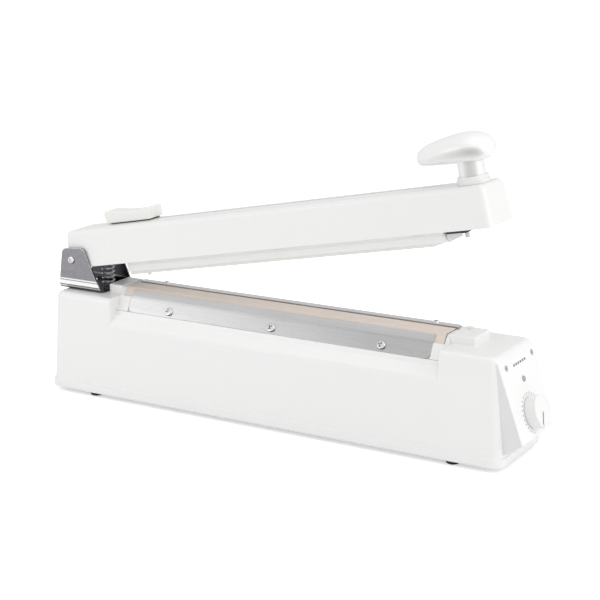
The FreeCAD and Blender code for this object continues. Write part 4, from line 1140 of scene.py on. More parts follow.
@dataclass(frozen=True)
class SmokedLens(Finish):
    """Tinted clear plastic of a lamp, with faint rings inside."""

    def dress(self, wiring: Wiring, shader: bpy.types.Node, where: bpy.types.NodeSocket) -> None:
        """Join the tint and rings to the shader.

        Args:
            wiring: the material's wiring.
            shader: its Principled BSDF.
            where: place on the object, in metres.
        """
        rings = self.group(wiring, "layers", {"Vector": where, "Direction": (0.33, 0.2, 0.94), "Pitch": 0.0009})
        colour = wiring.mix(wiring.math("MULTIPLY", rings.outputs["Lines"], 0.4), self.tint(), (0.55, 0.55, 0.56, 1.0))
        wiring.tree.links.new(colour, shader.inputs["Base Color"])
        shader.inputs["Coat Weight"].default_value = 1.0
        shader.inputs["Coat Roughness"].default_value = 0.05
        self.relief(wiring, shader, rings.outputs["Height"], 0.00001)


@dataclass(frozen=True)
class LayeredStack(Finish):
    """Stacked sheets or wound layers, with dark lines between them.

    Attributes:
        direction: direction across the layers.
        pitch: thickness of a layer in metres.
        line: colour between the layers.
        metal: metallic share.
    """

    direction: Triple = (0.0, 1.0, 0.0)
    pitch: float = 0.0007
    line: Colour = (0.03, 0.03, 0.03)
    metal: float = 1.0

    def dress(self, wiring: Wiring, shader: bpy.types.Node, where: bpy.types.NodeSocket) -> None:
        """Join the layers to the shader.

        Args:
            wiring: the material's wiring.
            shader: its Principled BSDF.
            where: place on the object, in metres.
        """
        layers = self.group(wiring, "layers", {
            "Vector": where, "Direction": self.direction, "Pitch": self.pitch,
        })
        cloud = wiring.spread(wiring.noise(where, 60.0, 4.0), 0.3, 0.7, 0.0, 0.3)
        base = wiring.mix(cloud, self.tint(), (*(value * 0.6 for value in self.colour), 1.0))
        colour = wiring.mix(layers.outputs["Lines"], base, (*self.line, 1.0))
        wiring.tree.links.new(colour, shader.inputs["Base Color"])
        shader.inputs["Metallic"].default_value = self.metal
        self.relief(wiring, shader, layers.outputs["Height"], 0.00002)


WHITE = (0.86, 0.86, 0.855)
FINISHES = {
    # white_body paints light on the faces of the sloping ledge, which look up and forward.
    "white_body": ShadedPlastic(WHITE, 0.36, coat=0.25, depth=0.000004, way=(0.0, -0.63, 0.77), reach=(0.985, 0.998),
                                shade=(0.93, 0.93, 0.925)),
    # white_panel paints shade on the panel's faces that look forward, such as its cheek.
    "white_panel": ShadedPlastic((0.88, 0.88, 0.878), 0.35, coat=0.25, depth=0.000004, shade=(0.74, 0.74, 0.745)),
    "white_arm": MouldedPlastic((0.85, 0.85, 0.843), 0.35, coat=0.3, depth=0.000004),
    # knob_white paints shade on the side of the knob and stem that faces forward, a little to the right and down.
    "knob_white": ShadedPlastic((0.88, 0.88, 0.875), 0.22, coat=0.5, depth=0.000006, way=(0.37, -0.90, -0.24),
                                reach=(0.80, 1.0), shade=(0.52, 0.52, 0.515)),
    "collar_white": MouldedPlastic((0.82, 0.82, 0.815), 0.35, coat=0.2),
    "slider_white": MouldedPlastic((0.87, 0.87, 0.845), 0.35, coat=0.15, depth=0.000014),
    "dial_white": MouldedPlastic((0.85, 0.85, 0.845), 0.35, coat=0.15),
    # carrier_white is white plastic, set lighter than the arm's white to make up for the shade under the arm: partly
    # painted light.
    "carrier_white": MouldedPlastic((0.88, 0.88, 0.875), 0.38, depth=0.000014),
    "nylon_white": MouldedPlastic((0.80, 0.79, 0.74), 0.45, depth=0.00002),
    "black_plastic": MouldedPlastic((0.018, 0.018, 0.019), 0.42, worn=(0.09, 0.09, 0.09)),
    "button_black": MouldedPlastic((0.015, 0.015, 0.016), 0.38, worn=(0.08, 0.08, 0.08)),
    "black_rubber": SoftRubber((0.02, 0.02, 0.02), 0.75, dust=(0.09, 0.085, 0.08)),
    "silicone_white": SoftRubber((0.80, 0.79, 0.76), 0.55, dust=(0.66, 0.64, 0.60)),
    "plate_steel": BrushedMetal((0.52, 0.52, 0.52), 0.42),
    # clamp_steel paints reflections on the strip's two faces.
    "clamp_steel": PaintedReflectionStrip((0.56, 0.56, 0.565), 0.33, stretch=(6.0, 1300.0, 1300.0)),
    "guide_steel": BrushedMetal((0.73, 0.73, 0.73), 0.32, stretch=(6.0, 1200.0, 1200.0)),
    "jaw_aluminium": BrushedMetal((0.66, 0.66, 0.67), 0.38, stretch=(10.0, 800.0, 800.0)),
    # bracket_chrome paints shade inside and a reflection band on the lower bend; its wide rim paints highlights on the
    # edges.
    "bracket_chrome": PlatedSheet((0.33, 0.32, 0.345), 0.18, stretch=(260.0, 260.0, 260.0), depth=0.000002,
                                  contrast=0.12, rim=0.0014),
    # pin_steel paints shade on the faces that look down.
    "pin_steel": TurnedSteel((0.88, 0.875, 0.86), 0.22, stretch=(700.0, 40.0, 700.0)),
    "spring_steel": BrushedMetal((0.85, 0.85, 0.86), 0.28, stretch=(400.0, 400.0, 900.0)),
    "blade_steel": BrushedMetal((0.66, 0.66, 0.68), 0.18, stretch=(900.0, 900.0, 30.0)),
    "ribbon_metal": BrushedMetal((0.50, 0.47, 0.44), 0.34, stretch=(10.0, 1500.0, 1500.0)),
    "brass_terminal": BrushedMetal((0.72, 0.52, 0.24), 0.30, stretch=(500.0, 500.0, 20.0),
                                   edge_wear_and_highlight=(0.95, 0.80, 0.50)),
    "insulation_tape": CoatedCloth((0.62, 0.48, 0.30), 0.42, pitch=0.0006),
    "release_cloth": CoatedCloth((0.75, 0.65, 0.575), 0.40),
    "lamp_lens": SmokedLens((0.34, 0.34, 0.345), 0.12),
    "core_steel": LayeredStack((0.34, 0.34, 0.35), 0.45, pitch=0.0010),
    "coil_wrap": LayeredStack((0.75, 0.58, 0.16), 0.38, direction=(0.0, 0.0, 1.0), pitch=0.009,
                              line=(0.30, 0.20, 0.05), metal=0.0),
    "board_green": LayeredStack((0.03, 0.20, 0.08), 0.25, direction=(1.0, 0.0, 0.0), pitch=0.0051,
                                line=(0.05, 0.30, 0.14), metal=0.0),
    "ink_grey": PrintedInk((0.16, 0.16, 0.165), 0.45),
    "ink_dark": PrintedInk((0.035, 0.035, 0.04), 0.45),
}
MATERIALS = {name: finish.make(name) for name, finish in FINISHES.items()}


def present(piece: Piece, seat: Seat, body: Body, slot: str, *nodes: str, finish: str = "") -> Piece:
    """Place a finished piece, dress it and put it on its body.

    Args:
        piece: the finished piece.
        seat: where its axes lie.
        body: what it moves with.
        slot: the record's material slot.
        nodes: CAD nodes that it stands for.
        finish: another finish than the slot's own.

    Returns:
        The piece.
    """
    seat.settle(piece)
    piece.data.materials.clear()
    piece.data.materials.append(MATERIALS[finish or slot])
    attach(piece, body.value)
    if nodes:
        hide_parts(*nodes)
    LOG.info("%s: %d faces, on %s", piece.name, len(piece.data.polygons), body.value)
    return piece


def offset(line: Sequence[Pair], distance: float) -> list[Pair]:
    """Move an open line sideways, to the left of its direction.

    Args:
        line: its points.
        distance: how far.

    Returns:
        The moved points.
    """
    moved = []
    for index, point in enumerate(line):
        ways = []
        for first, last in (line[max(index - 1, 0):index + 1], line[index:index + 2]) if 0 < index < len(line) - 1 \
                else ((line[:2],) if index == 0 else (line[-2:],)):
            length = math.dist(first, last)
            ways.append(((first[1] - last[1]) / length, (last[0] - first[0]) / length))
        normal = Vector([sum(way[axis] for way in ways) for axis in (0, 1)]).normalized()
        stretch = 1.0 / normal.dot(Vector(ways[0]))
        moved.append((point[0] + normal.x * distance * stretch, point[1] + normal.y * distance * stretch))
    return moved


# Screws

@dataclass(frozen=True)
class CrossScrew:
    """Round-headed screw with a cross recess; only its head is modelled.

    Attributes:
        radius: radius of the head.
        height: height of the head.
    """

    radius: float
    height: float

    def head(self) -> Piece:
        """Model one head, upright on the origin.

        Returns:
            The head.
        """
        head = bar("screw", (0.0, 0.0, self.height / 2), self.radius, self.height, Axis.Z, 40)
        round_edges(head, lambda at, way: at.z > self.height - 0.01 and abs(way.z) < 0.1, self.height * 0.62, 4)
        arm = self.radius * 0.60
        slim = self.radius * 0.17
        depth = self.height * 0.25
        cross = block("recess", (-arm, -slim, depth), (arm, slim, self.height * 2))
        weld(cross, block("recess", (-slim, -arm, depth), (slim, arm, self.height * 2)))
        carve(head, cross)
        smooth(head, 28.0)
        return head

    def place(self, name: str, spots: Sequence[Triple], way: Triple, turns: Sequence[float]) -> Piece:
        """Model the heads of one group of screws.

        Args:
            name: the group's name.
            spots: where the heads sit.
            way: which way they point.
            turns: turn of each recess in degrees.

        Returns:
            The heads as one piece.
        """
        pattern = self.head()
        lean = Vector((0.0, 0.0, 1.0)).rotation_difference(Vector(way)).to_matrix().to_4x4()
        heads = []
        for index, spot in enumerate(spots):
            twin = copy_of(pattern, f"{name}_{index}")
            spin = Matrix.Rotation(math.radians(turns[index % len(turns)]), 4, "Z")
            twin.matrix_world = Matrix.Translation(spot) @ lean @ spin
            heads.append(bake(twin))
        bpy.data.objects.remove(pattern, do_unlink=True)
        if len(heads) > 1:
            join(heads[0], *heads[1:])
        heads[0].name = name
        return heads[0]


# Base

@dataclass(frozen=True)
class Housing:
    """Moulded housing: skirt, drafted body, notch, ridge blocks.

    Attributes:
        skirt: rectangle of the skirt.
        skirt_top: top of the skirt.
        step: how far the body stands in from the skirt.
        top: top of the body.
        wall: wall thickness.
    """

    skirt: Slab = Slab(0.0, 437.0, 40.8, 4.0)
    skirt_top: float = 11.5
    step: float = 1.6
    top: float = 90.0
    wall: float = 2.5
    long_draft: float = 5.2
    hinge_draft: float = 3.7
    panel_draft: float = 5.6
    corner: float = 8.0
    shoulder: float = 4.5
    notch: Pair = (65.1, 380.5)
    floor: float = 67.0
    ledge: float = 76.3
    trough: float = 74.0
    ridge_y: Pair = (-13.8, 14.4)
    ridge_top: float = 97.4

    def section(self, z: float) -> Slab:
        """Give the body's rectangle at a height.

        Args:
            z: the height.

        Returns:
            The rectangle.
        """
        rise = (z - self.skirt_top) / (self.top - self.skirt_top)
        return Slab(
            self.skirt.start + self.step + self.hinge_draft * rise,
            self.skirt.end - self.step - self.panel_draft * rise,
            self.skirt.half - self.step - self.long_draft * rise,
            z,
        )

    def body(self, name: str) -> Piece:
        """Model the drafted body with its rounded shoulder.

        Args:
            name: the piece's name.

        Returns:
            The body.
        """
        body = drafted(name, self.section(self.skirt_top), self.section(self.top), self.corner, 7)
        round_edges(body, lambda at, way: at.z > self.top - 0.1, self.shoulder, 6)
        return body

    def outer(self) -> Piece:
        """Model the skirt and the body in one.

        Returns:
            The closed form.
        """
        skirt = self.skirt
        form = block("housing", (skirt.start, -skirt.half, skirt.z), (skirt.end, skirt.half, self.skirt_top))
        round_edges(form, lambda at, way: abs(way.z) > 0.9, self.corner + 1.0, 7)
        rim = self.step / 2
        round_edges(form, lambda at, way: at.z > self.skirt_top - 0.1, rim, 3)
        choose(form, Kind.FACES, lambda at, way: way.z > 0.99)
        bpy.ops.mesh.inset(thickness=rim)
        rise = self.top - self.skirt_top
        bpy.ops.mesh.extrude_region_move(TRANSFORM_OT_translate={"value": (0.0, 0.0, rise)})
        foot = self.section(self.skirt_top)
        narrow(foot, self.section(self.top))
        round_edges(form, lambda at, way: at.z > self.top - 0.1, self.shoulder, 6)
        return form

    def notch_tool(self, wall: float) -> Piece:
        """Model the space in front of the jaw.

        Args:
            wall: how much larger it is for the inside.

        Returns:
            The tool.
        """
        front = -self.section(self.floor).half
        ledge_y = front + 11.4
        rear = self.ridge_y[1]
        high = self.ledge if wall == 0 else self.trough - wall
        low = self.floor - wall
        ahead = 2.0
        foot = low - ahead * (high - low) / (ledge_y - front)
        points = [(-BIG, foot), (front - ahead, foot), (ledge_y, high)]
        if wall == 0:
            points.append((ledge_y, self.trough))
        points += [(rear + wall, self.trough - wall), (rear + wall, BIG), (-BIG, BIG)]
        return prism_x("notch", points, (self.notch[0] - wall, self.notch[1] + wall))

    def spans(self) -> tuple[Pair, Pair]:
        """Give the lengths of the two raised blocks.

        Returns:
            Start and end of each.
        """
        return (self.notch[0] - 15.0, self.notch[0]), (self.notch[1], self.notch[1] + 21.0)

    def cheeks(self) -> list[Piece]:
        """Model what closes the notch round the jaw.

        Returns:
            A cheek with its cover at each end, and the lip under the clamp strip.
        """
        jaw = HeatedJaw()
        low = self.trough - 1.0
        front = jaw.front()
        side = front + [(5.0, jaw.top), (5.0, 86.5), (-9.0, 86.5), (-9.0, low), (front[0][0], low)]
        cover = offset(jaw.cloth_line(), 0.5)[:2]
        cover += offset(jaw.cloth_line(), 1.2)[:2][::-1]
        rear = [(7.9, 86.5), (14.0, 86.5), (14.0, jaw.top), (7.9, jaw.top)]
        lip = [(-26.9, low), (-25.45, 78.35), (-24.95, 78.35), (-24.95, low)]
        return [
            prism_x("left_cheek", side, (self.notch[0] - 0.5, jaw.span[0] - 0.3)),
            prism_x("left_rear", rear, (self.notch[0] - 0.5, jaw.span[0] - 0.3)),
            prism_x("left_cover", cover, (self.notch[0] - 0.5, jaw.clamp[0] - 0.12)),
            prism_x("right_cheek", side, (jaw.span[1] + 0.3, self.notch[1] + 0.5)),
            prism_x("right_rear", rear, (jaw.span[1] + 0.3, self.notch[1] + 0.5)),
            prism_x("right_cover", cover, (jaw.clamp[1] + 0.12, self.notch[1] + 0.5)),
            prism_x("lip", lip, (self.notch[0] - 0.5, self.notch[1] + 0.5)),
        ]

    def cavity(self) -> Piece:
        """Model the inside.

        Returns:
            The tool that hollows the housing.
        """
        wall = self.wall
        inside = drafted("cavity", self.section(self.skirt.z - 1.0).inset(wall),
                         self.section(self.top - wall).inset(wall), self.corner - wall, 5)
        carve(inside, self.notch_tool(wall))
        for start, end in self.spans():
            weld(inside, block("hollow", (start + wall, self.ridge_y[0] + wall, 80.0),
                               (end - wall, self.ridge_y[1] - wall, self.ridge_top - wall)))
        return inside

    def build(self) -> None:
        """Model, round, hollow and pierce the housing."""
        shell = self.outer()
        start, end = self.spans()[0][0], self.spans()[1][1]
        weld(shell, block("ridge", (start, self.ridge_y[0], 60.0), (end, self.ridge_y[1], self.ridge_top)))
        carve(shell, self.notch_tool(0.0))
        soften(shell, 1.1, 3, 33.0)
        weld(shell, *self.cheeks())
        inside = self.cavity()
        carve(shell, inside)
        posts = [bar("post", (x, y, 22.0), 4.5, 34.0, Axis.Z, 24) for x in (44.5, 392.5) for y in (-31.3, 31.3)]
        weld(shell, *posts)
        carve(shell, *[bar("pilot", (x, y, 10.0), 1.5, 14.0, Axis.Z, 20)
                       for x in (44.5, 392.5) for y in (-31.3, 31.3)])
        carve(shell, bar("button_hole", (387.6, 8.4, self.ridge_top), 2.6, 12.0, Axis.Z, 36))
        carve(shell, bar("gland_hole", (404.0, 40.0, 25.0), 6.05, 30.0, Axis.Y, 36))
        carve(shell, block("window", (424.0, -22.0, 26.0), (440.0, 22.0, 72.0)))
        smooth(shell, 30.0)
        present(shell, AT_BASE, Body.BASE, "white_body", "base_housing")


@dataclass(frozen=True)
class Feet:
    """Four tapered rubber feet with a screw in each."""

    spots: tuple[Pair, ...] = ((44.5, -31.3), (44.5, 31.3), (392.5, -31.3), (392.5, 31.3))

    def build(self) -> None:
        """Model one foot and copy it."""
        clear()
        bpy.ops.mesh.primitive_cone_add(vertices=48, radius1=5.2, radius2=6.0, depth=4.0, location=(0, 0, 2.0))
        foot = bake(bpy.context.object)
        round_edges(foot, lambda at, way: at.z < 0.01 and abs(way.z) < 0.1, 0.6, 3)
        carve(foot, bar("recess", (0, 0, 0), 3.2, 4.0, Axis.Z), bar("hole", (0, 0, 3.0), 1.5, 4.0, Axis.Z, 24))
        smooth(foot)
        feet = []
        for index, (x, y) in enumerate(self.spots):
            twin = copy_of(foot, f"foot_{index}")
            twin.location = (x, y, 0.0)
            feet.append(bake(twin))
        bpy.data.objects.remove(foot, do_unlink=True)
        join(feet[0], *feet[1:])
        feet[0].name = "feet"
        present(feet[0], AT_BASE, Body.BASE, "black_rubber", "rubber_feet")
        screws = CrossScrew(2.8, 1.3).place("foot_screws", [(x, y, 2.0) for x, y in self.spots],
                                            (0.0, 0.0, -1.0), (20.0, 55.0, 5.0))
        present(screws, AT_BASE, Body.BASE, "pin_steel")


@dataclass(frozen=True)
class HeatedJaw:
    """What lies on the jaw bar: cloth, clamp strip, guide and their screws.

    Attributes:
        span: ends of the jaw.
        top: top of the jaw bar.
        groove: middle of the cutter's groove.
    """

    span: Pair = (68.7, 376.9)
    top: float = 96.2
    groove: float = 6.5
    clamp: Pair = (77.3, 368.3)

    def front(self) -> list[Pair]:
        """Give the front of the jaw as y, z.

        Returns:
            Foot, shoulder, top edge and crown.
        """
        edge = (-12.6, self.top - 1.2)
        slope = math.radians(51.0)
        shoulder = (edge[0] - 7.1 * math.cos(slope), edge[1] - 7.1 * math.sin(slope))
        slope = math.radians(60.0)
        foot = (shoulder[0] - 13.4 * math.cos(slope), shoulder[1] - 13.4 * math.sin(slope))
        return [foot, shoulder, edge, (-11.4, self.top)]

    def cloth_line(self) -> list[Pair]:
        """Give the cloth's underside as y, z.

        Returns:
            The points from the jaw's foot into the groove.
        """
        foot, shoulder, edge, crown = self.front()
        out = (-math.sin(math.radians(60.0)) * 0.05, math.cos(math.radians(60.0)) * 0.05)
        lip = self.groove - 1.2
        low = self.top + 0.55
        return [
            (foot[0] + out[0], foot[1] + out[1]), (shoulder[0] + out[0], shoulder[1] + out[1]),
            (edge[0] - 0.55, edge[1] + 0.275), (crown[0], low), (lip - 0.55, low),
            (lip + 0.05, self.top), (lip + 0.05, self.top - 3.1),
        ]

    def build_cloth(self) -> None:
        """Model the non-stick cloth as a thin bent sheet."""
        line = self.cloth_line()
        outer = offset(line, 0.25)
        cloth = prism_x("cloth", line + outer[::-1], self.span)
        for step in range(1, 24):
            choose_all(cloth)
            at = self.span[0] + (self.span[1] - self.span[0]) * step / 24
            bpy.ops.mesh.bisect(plane_co=(at, 0.0, 0.0), plane_no=(1.0, 0.0, 0.0))
        clear()
        smooth(cloth, 20.0)
        present(cloth, AT_BASE, Body.BASE, "release_cloth", "release_cloth")

    def build_clamp(self) -> None:
        """Model the clamp strip with its two bends and round lower corners."""
        inner = offset(self.cloth_line(), 0.25)[:3]
        outer = offset(inner, 0.8)
        plate = prism_x("clamp_strip", inner + outer[::-1], self.clamp)
        foot = min(z for _, z in inner)
        lower = [edge for edge in self.clamp]
        round_edges(plate, lambda at, way: at.z < foot + 0.9 and abs(way.x) < 0.3
                    and min(abs(at.x - end) for end in lower) < 0.1 and way.z < 0.9
                    and abs(way.y * 0.5 + way.z * 0.866) < 0.3, 5.0, 6)
        round_edges(plate, lambda at, way: abs(way.x) > 0.9 and foot + 3 < at.z < 94.0, 1.6, 4)
        soften(plate, 0.16, 2, 40.0)
        smooth(plate, 25.0)
        present(plate, AT_BASE, Body.BASE, "clamp_steel", "clamp_plate")
        way = (0.0, -math.sin(math.radians(60.0)), math.cos(math.radians(60.0)))
        spots = [(x, -21.17 + way[1] * 1.1, 82.38 + way[2] * 1.1) for x in (119.7, 222.4, 324.8)]
        screws = CrossScrew(3.6, 1.9).place("clamp_screws", spots, way, (12.0, 48.0, 71.0))
        present(screws, AT_BASE, Body.BASE, "pin_steel")

    def build_guide(self) -> None:
        """Model the rear guide and its two screws."""
        guide = block("guide_strip", (self.span[0], self.groove + 1.2, self.top), (self.span[1], 14.4, self.top + 1.4))
        soften(guide, 0.25, 3)
        smooth(guide)
        present(guide, AT_BASE, Body.BASE, "guide_steel", "rear_guide")
        spots = [(x, 11.0, self.top + 1.4) for x in (94.0, 356.0)]
        screws = CrossScrew(2.8, 1.3).place("guide_screws", spots, (0.0, 0.0, 1.0), (33.0, 62.0))
        present(screws, AT_BASE, Body.BASE, "pin_steel")

    def build(self) -> None:
        """Model all that lies on the jaw."""
        self.build_cloth()
        self.build_clamp()
        self.build_guide()


@dataclass(frozen=True)
class Hinge:
    """Bent bracket, its pin, the return spring and the bracket's screws.

    Attributes:
        floor: underside of the bracket.
        half: half its width.
        sheet: thickness of its sheet.
        bend: outer radius of its bends.
    """

    floor: float = 90.0
    half: float = 23.4
    sheet: float = 1.5
    bend: float = 6.0

    def channel(self, inset: float) -> Piece:
        """Model a tall channel with round lower corners.

        Args:
            inset: how far it lies inside the bracket.

        Returns:
            The form.
        """
        half = self.half - inset
        low = self.floor + inset
        form = block("channel", (-20.0, -half, low), (80.0, half, low + 90.0))
        round_edges(form, lambda at, way: abs(way.x) > 0.9 and at.z < low + 1, self.bend - inset, 7)
        return form

    def build_bracket(self) -> None:
        """Model the bracket."""
        points = [(1.5, 88.0), (49.0, 88.0), (48.0, 90.0), (30.5, 129.0), (7.0, 126.6), (1.5, 90.0)]
        bracket = prism_y("bracket", points, (-30.0, 30.0))
        round_edges(bracket, lambda at, way: abs(way.y) > 0.9 and at.z > 120.0, 4.0, 6)
        combine(bracket, self.channel(0.0), "INTERSECT")
        carve(bracket, self.channel(self.sheet))
        carve(bracket, bar("bore", (PIVOT_X, 0.0, PIVOT_Z), 2.55, 60.0, Axis.Y, 32))
        soften(bracket, 0.22, 2, 40.0)
        smooth(bracket, 25.0)
        present(bracket, AT_BASE, Body.BASE, "bracket_chrome", "hinge_bracket")
        spots = [(14.0, y, self.floor + self.sheet) for y in (-12.0, 12.0)]
        screws = CrossScrew(3.2, 1.5).place("bracket_screws", spots, (0.0, 0.0, 1.0), (15.0, 40.0))
        present(screws, AT_BASE, Body.BASE, "pin_steel")

    def build_pin(self) -> None:
        """Model the pin with a recessed head at each end."""
        pin = bar("pin", (PIVOT_X, 0.0, PIVOT_Z), 2.5, 2 * self.half, Axis.Y, 36)
        for side in (-1.0, 1.0):
            head = CrossScrew(3.3, 1.4).place("pin_head", [(PIVOT_X, side * self.half, PIVOT_Z)],
                                              (0.0, side, 0.0), (24.0,))
            join(pin, head)
        smooth(pin, 28.0)
        present(pin, AT_BASE, Body.BASE, "pin_steel", "hinge_pin")

    def build_spring(self) -> None:
        """Model the spring by screwing its wire's section upwards."""
        clear()
        bpy.ops.mesh.primitive_circle_add(vertices=14, radius=0.8, rotation=(math.pi / 2, 0.0, 0.0), location=(5.0, 0.0, 0.0))
        wire = bake(bpy.context.object)
        wire.name = "spring"
        modifier = wire.modifiers.new("coil", "SCREW")
        modifier.angle = 2 * math.pi * 5
        modifier.screw_offset = 20.1
        modifier.steps = 160
        modifier.render_steps = 160
        modifier.use_smooth_shade = True
        bpy.ops.object.modifier_apply(modifier=modifier.name)
        choose_all(wire)
        bpy.ops.mesh.select_mode(type="EDGE")
        bpy.ops.mesh.select_all(action="DESELECT")
        bpy.ops.mesh.select_non_manifold()
        bpy.ops.mesh.edge_face_add()
        bpy.ops.mesh.select_all(action="SELECT")
        bpy.ops.mesh.normals_make_consistent(inside=False)
        clear()
        wire.location = (38.954, 0.0, 92.3)
        bake(wire)
        smooth(wire, 50.0)
        present(wire, AT_BASE, Body.BASE, "spring_steel", "return_spring")
        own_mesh(wire)

    def build(self) -> None:
        """Model the hinge."""
        self.build_bracket()
        self.build_pin()
        self.build_spring()


@dataclass(frozen=True)
class ControlEnd:
    """Sloping control panel with its lamp, dial and printed marks.

    The panel's own axes are: x down the slope, y across, z out of it.
    """

    housing: Housing
    half: float = 32.8
    wall: float = 2.5
    lamp: float = 20.0
    dial: Pair = (46.7, -3.0)
    dial_radius: float = 13.3
    dial_top: float = 10.0
    pointer: float = 32.0

    def build_wedge(self) -> None:
        """Model the hollow wedge, shaped to the housing behind it."""
        ends = self.housing.section
        top = Vector((ends(85.2).end, 85.2))
        tip = Vector((ends(13.6).end + 16.3, 23.8))
        root = Vector((ends(13.6).end, 13.6))
        depth = Vector((10.5, 0.0))
        down = (tip - top).normalized()
        out = Vector((-down.y, down.x))
        line = [top, tip, root, root - depth, top - depth]
        wedge = prism_y("panel", [tuple(point) for point in line], (-self.half, self.half))
        limit = ends(23.8).end
        round_edges(wedge, lambda at, way: at.x > limit or (at.z > 85.0 and abs(way.y) > 0.9
                                                             and at.x > top.x - 1), 1.4, 4)
        inner = [top - out * self.wall - down * self.wall, tip - out * self.wall - down * 2 * self.wall,
                 root + Vector((0.0, 5.0)), root + Vector((-21.0, 5.0))]
        inner.append(inner[0] - 2 * depth)
        span = self.half - self.wall
        carve(wedge, prism_y("hollow", [tuple(point) for point in inner], (-span, span)))
        carve(wedge, self.housing.body("behind"))
        smooth(wedge, 25.0)
        for name, (x, y), radius in (("dial_hole", self.dial, 4.05), ("lamp_hole", (self.lamp, 0.0), 2.45)):
            hole = bar(name, (x, y, 0.0), radius, 12.0, Axis.Z, 32)
            hole.rotation_euler = (0.0, math.radians(PANEL_TILT), 0.0)
            hole.location = (430.142, 0.0, 85.2)
            carve(wedge, bake(hole))
        smooth(wedge, 25.0)
        present(wedge, AT_BASE, Body.BASE, "white_panel", "control_panel")

    def build_lamp(self) -> None:
        """Model the lamp as a low dome with a collar behind the panel."""
        lens = bar("lamp", (self.lamp, 0.0, -2.9), 2.4, 7.6, Axis.Z, 40)
        round_edges(lens, lambda at, way: at.z > 0.85, 0.7, 5)
        weld(lens, bar("flange", (self.lamp, 0.0, -2.9), 3.0, 0.8, Axis.Z, 40))
        smooth(lens, 35.0)
        present(lens, AT_PANEL, Body.BASE, "lamp_lens", "indicator_lamp")

    def build_dial(self) -> None:
        """Model the dial: slightly flared, dished, with a dark pointer."""
        x, y = self.dial
        low = 0.4
        knob = bar("dial", (x, y, (low + self.dial_top) / 2), self.dial_radius, self.dial_top - low, Axis.Z, 96)
        choose(knob, Kind.FACES, lambda at, way: way.z < -0.9)
        bpy.ops.transform.resize(value=(0.965, 0.965, 1.0), center_override=(x, y, low))
        choose(knob, Kind.FACES, lambda at, way: way.z > 0.9)
        bpy.ops.mesh.inset(thickness=1.7)
        bpy.ops.mesh.inset(thickness=0.6)
        bpy.ops.transform.translate(value=(0.0, 0.0, -0.35))
        clear()
        rim = self.dial_top - 0.01
        round_edges(knob, lambda at, way: at.z > rim and math.dist((at.x, at.y), (x, y)) > self.dial_radius - 0.2,
                    0.8, 4)
        carve(knob, bar("bore", (x, y, low + 3.6), 3.02, 7.4, Axis.Z, 32))
        angle = math.radians(self.pointer)
        groove = block("groove", (0.6, -0.75, self.dial_top - 0.85), (12.4, 0.75, self.dial_top + 2.0))
        groove.rotation_euler = (0.0, 0.0, -angle)
        groove.location = (x, y, 0.0)
        carve(knob, bake(groove))
        smooth(knob, 30.0)
        present(knob, AT_PANEL, Body.DIAL, "dial_white", "timer_dial")
        line = block("pointer", (0.9, -0.5, self.dial_top - 0.85), (12.1, 0.5, self.dial_top - 0.5))
        soften(line, 0.12, 2)
        line.rotation_euler = (0.0, 0.0, -angle)
        line.location = (x, y, 0.0)
        present(bake(line), AT_PANEL, Body.DIAL, "button_black", finish="ink_dark")

    def dash(self, name: str, size: Triple, spot: Triple) -> Piece:
        """Model one printed mark.

        Args:
            name: the mark's name.
            size: length, width and film thickness.
            spot: down the panel, across it, and turn in degrees.

        Returns:
            The mark.
        """
        mark = block(name, (-size[0] / 2, -size[1] / 2, 0.0), (size[0] / 2, size[1] / 2, size[2]))
        round_edges(mark, lambda at, way: abs(way.z) > 0.9, min(size[:2]) * 0.3, 3)
        mark.rotation_euler = (0.0, 0.0, math.radians(spot[2]))
        mark.location = (spot[0], spot[1], 0.0)
        return bake(mark)

    def ring_mark(self, name: str, place: Pair) -> Piece:
        """Model a plain printed ring with a dot in it.

        Args:
            name: the mark's name.
            place: its middle, down the panel and across it.

        Returns:
            The mark.
        """
        x, y = place
        mark = bar(name, (x, y, 0.025), 2.3, 0.05, Axis.Z, 32)
        carve(mark, bar("inside", (x, y, 0.025), 1.6, 1.0, Axis.Z, 32))
        dot = bar("dot", (x, y, 0.025), 1.1, 0.05, Axis.Z, 20)
        join(mark, dot)
        return mark

    def build_marks(self) -> None:
        """Model the ring of marks round the dial and the plain signs above it."""
        x, y = self.dial
        marks = []
        for index in range(20):
            turn = 14.0 + index * 14.0
            angle = math.radians(turn)
            spot = (x + 15.5 * math.cos(angle), y - 15.5 * math.sin(angle), 90.0 - turn)
            marks.append(self.dash(f"mark_{index}", (0.55, 1.6 + 0.05 * index, 0.05), spot))
        marks += [self.ring_mark("sign_left", (5.5, -22.6)), self.ring_mark("sign_right", (5.5, 25.7))]
        marks += [self.dash(f"line_{index}", (1.9, 2.7, 0.05), (6.8, -9.0 + 4.0 * index, 0.0)) for index in range(6)]
        join(marks[0], *marks[1:])
        marks[0].name = "panel_marks"
        present(marks[0], AT_PANEL, Body.BASE, "black_plastic", finish="ink_grey")

    def build(self) -> None:
        """Model the control end."""
        self.build_wedge()
        self.build_lamp()
        self.build_dial()
        self.build_marks()


@dataclass(frozen=True)
class SwitchButton:
    """Round button in the right block, under the arm's peg."""

    spot: Pair = (387.6, 8.4)
    base: float = 97.4

    def build(self) -> None:
        """Model the button with a domed top and a flange."""
        x, y = self.spot
        top = self.base + 1.5
        button = bar("button", (x, y, top - 2.8), 2.5, 5.6, Axis.Z, 40)
        round_edges(button, lambda at, way: at.z > top - 0.01, 0.6, 4)
        weld(button, bar("flange", (x, y, top - 5.1), 3.2, 1.0, Axis.Z, 40))
        smooth(button)
        present(button, AT_BASE, Body.BUTTON, "button_black", "switch_button", finish="nylon_white")


# Arm, in its own axes: x from the pin towards the handle

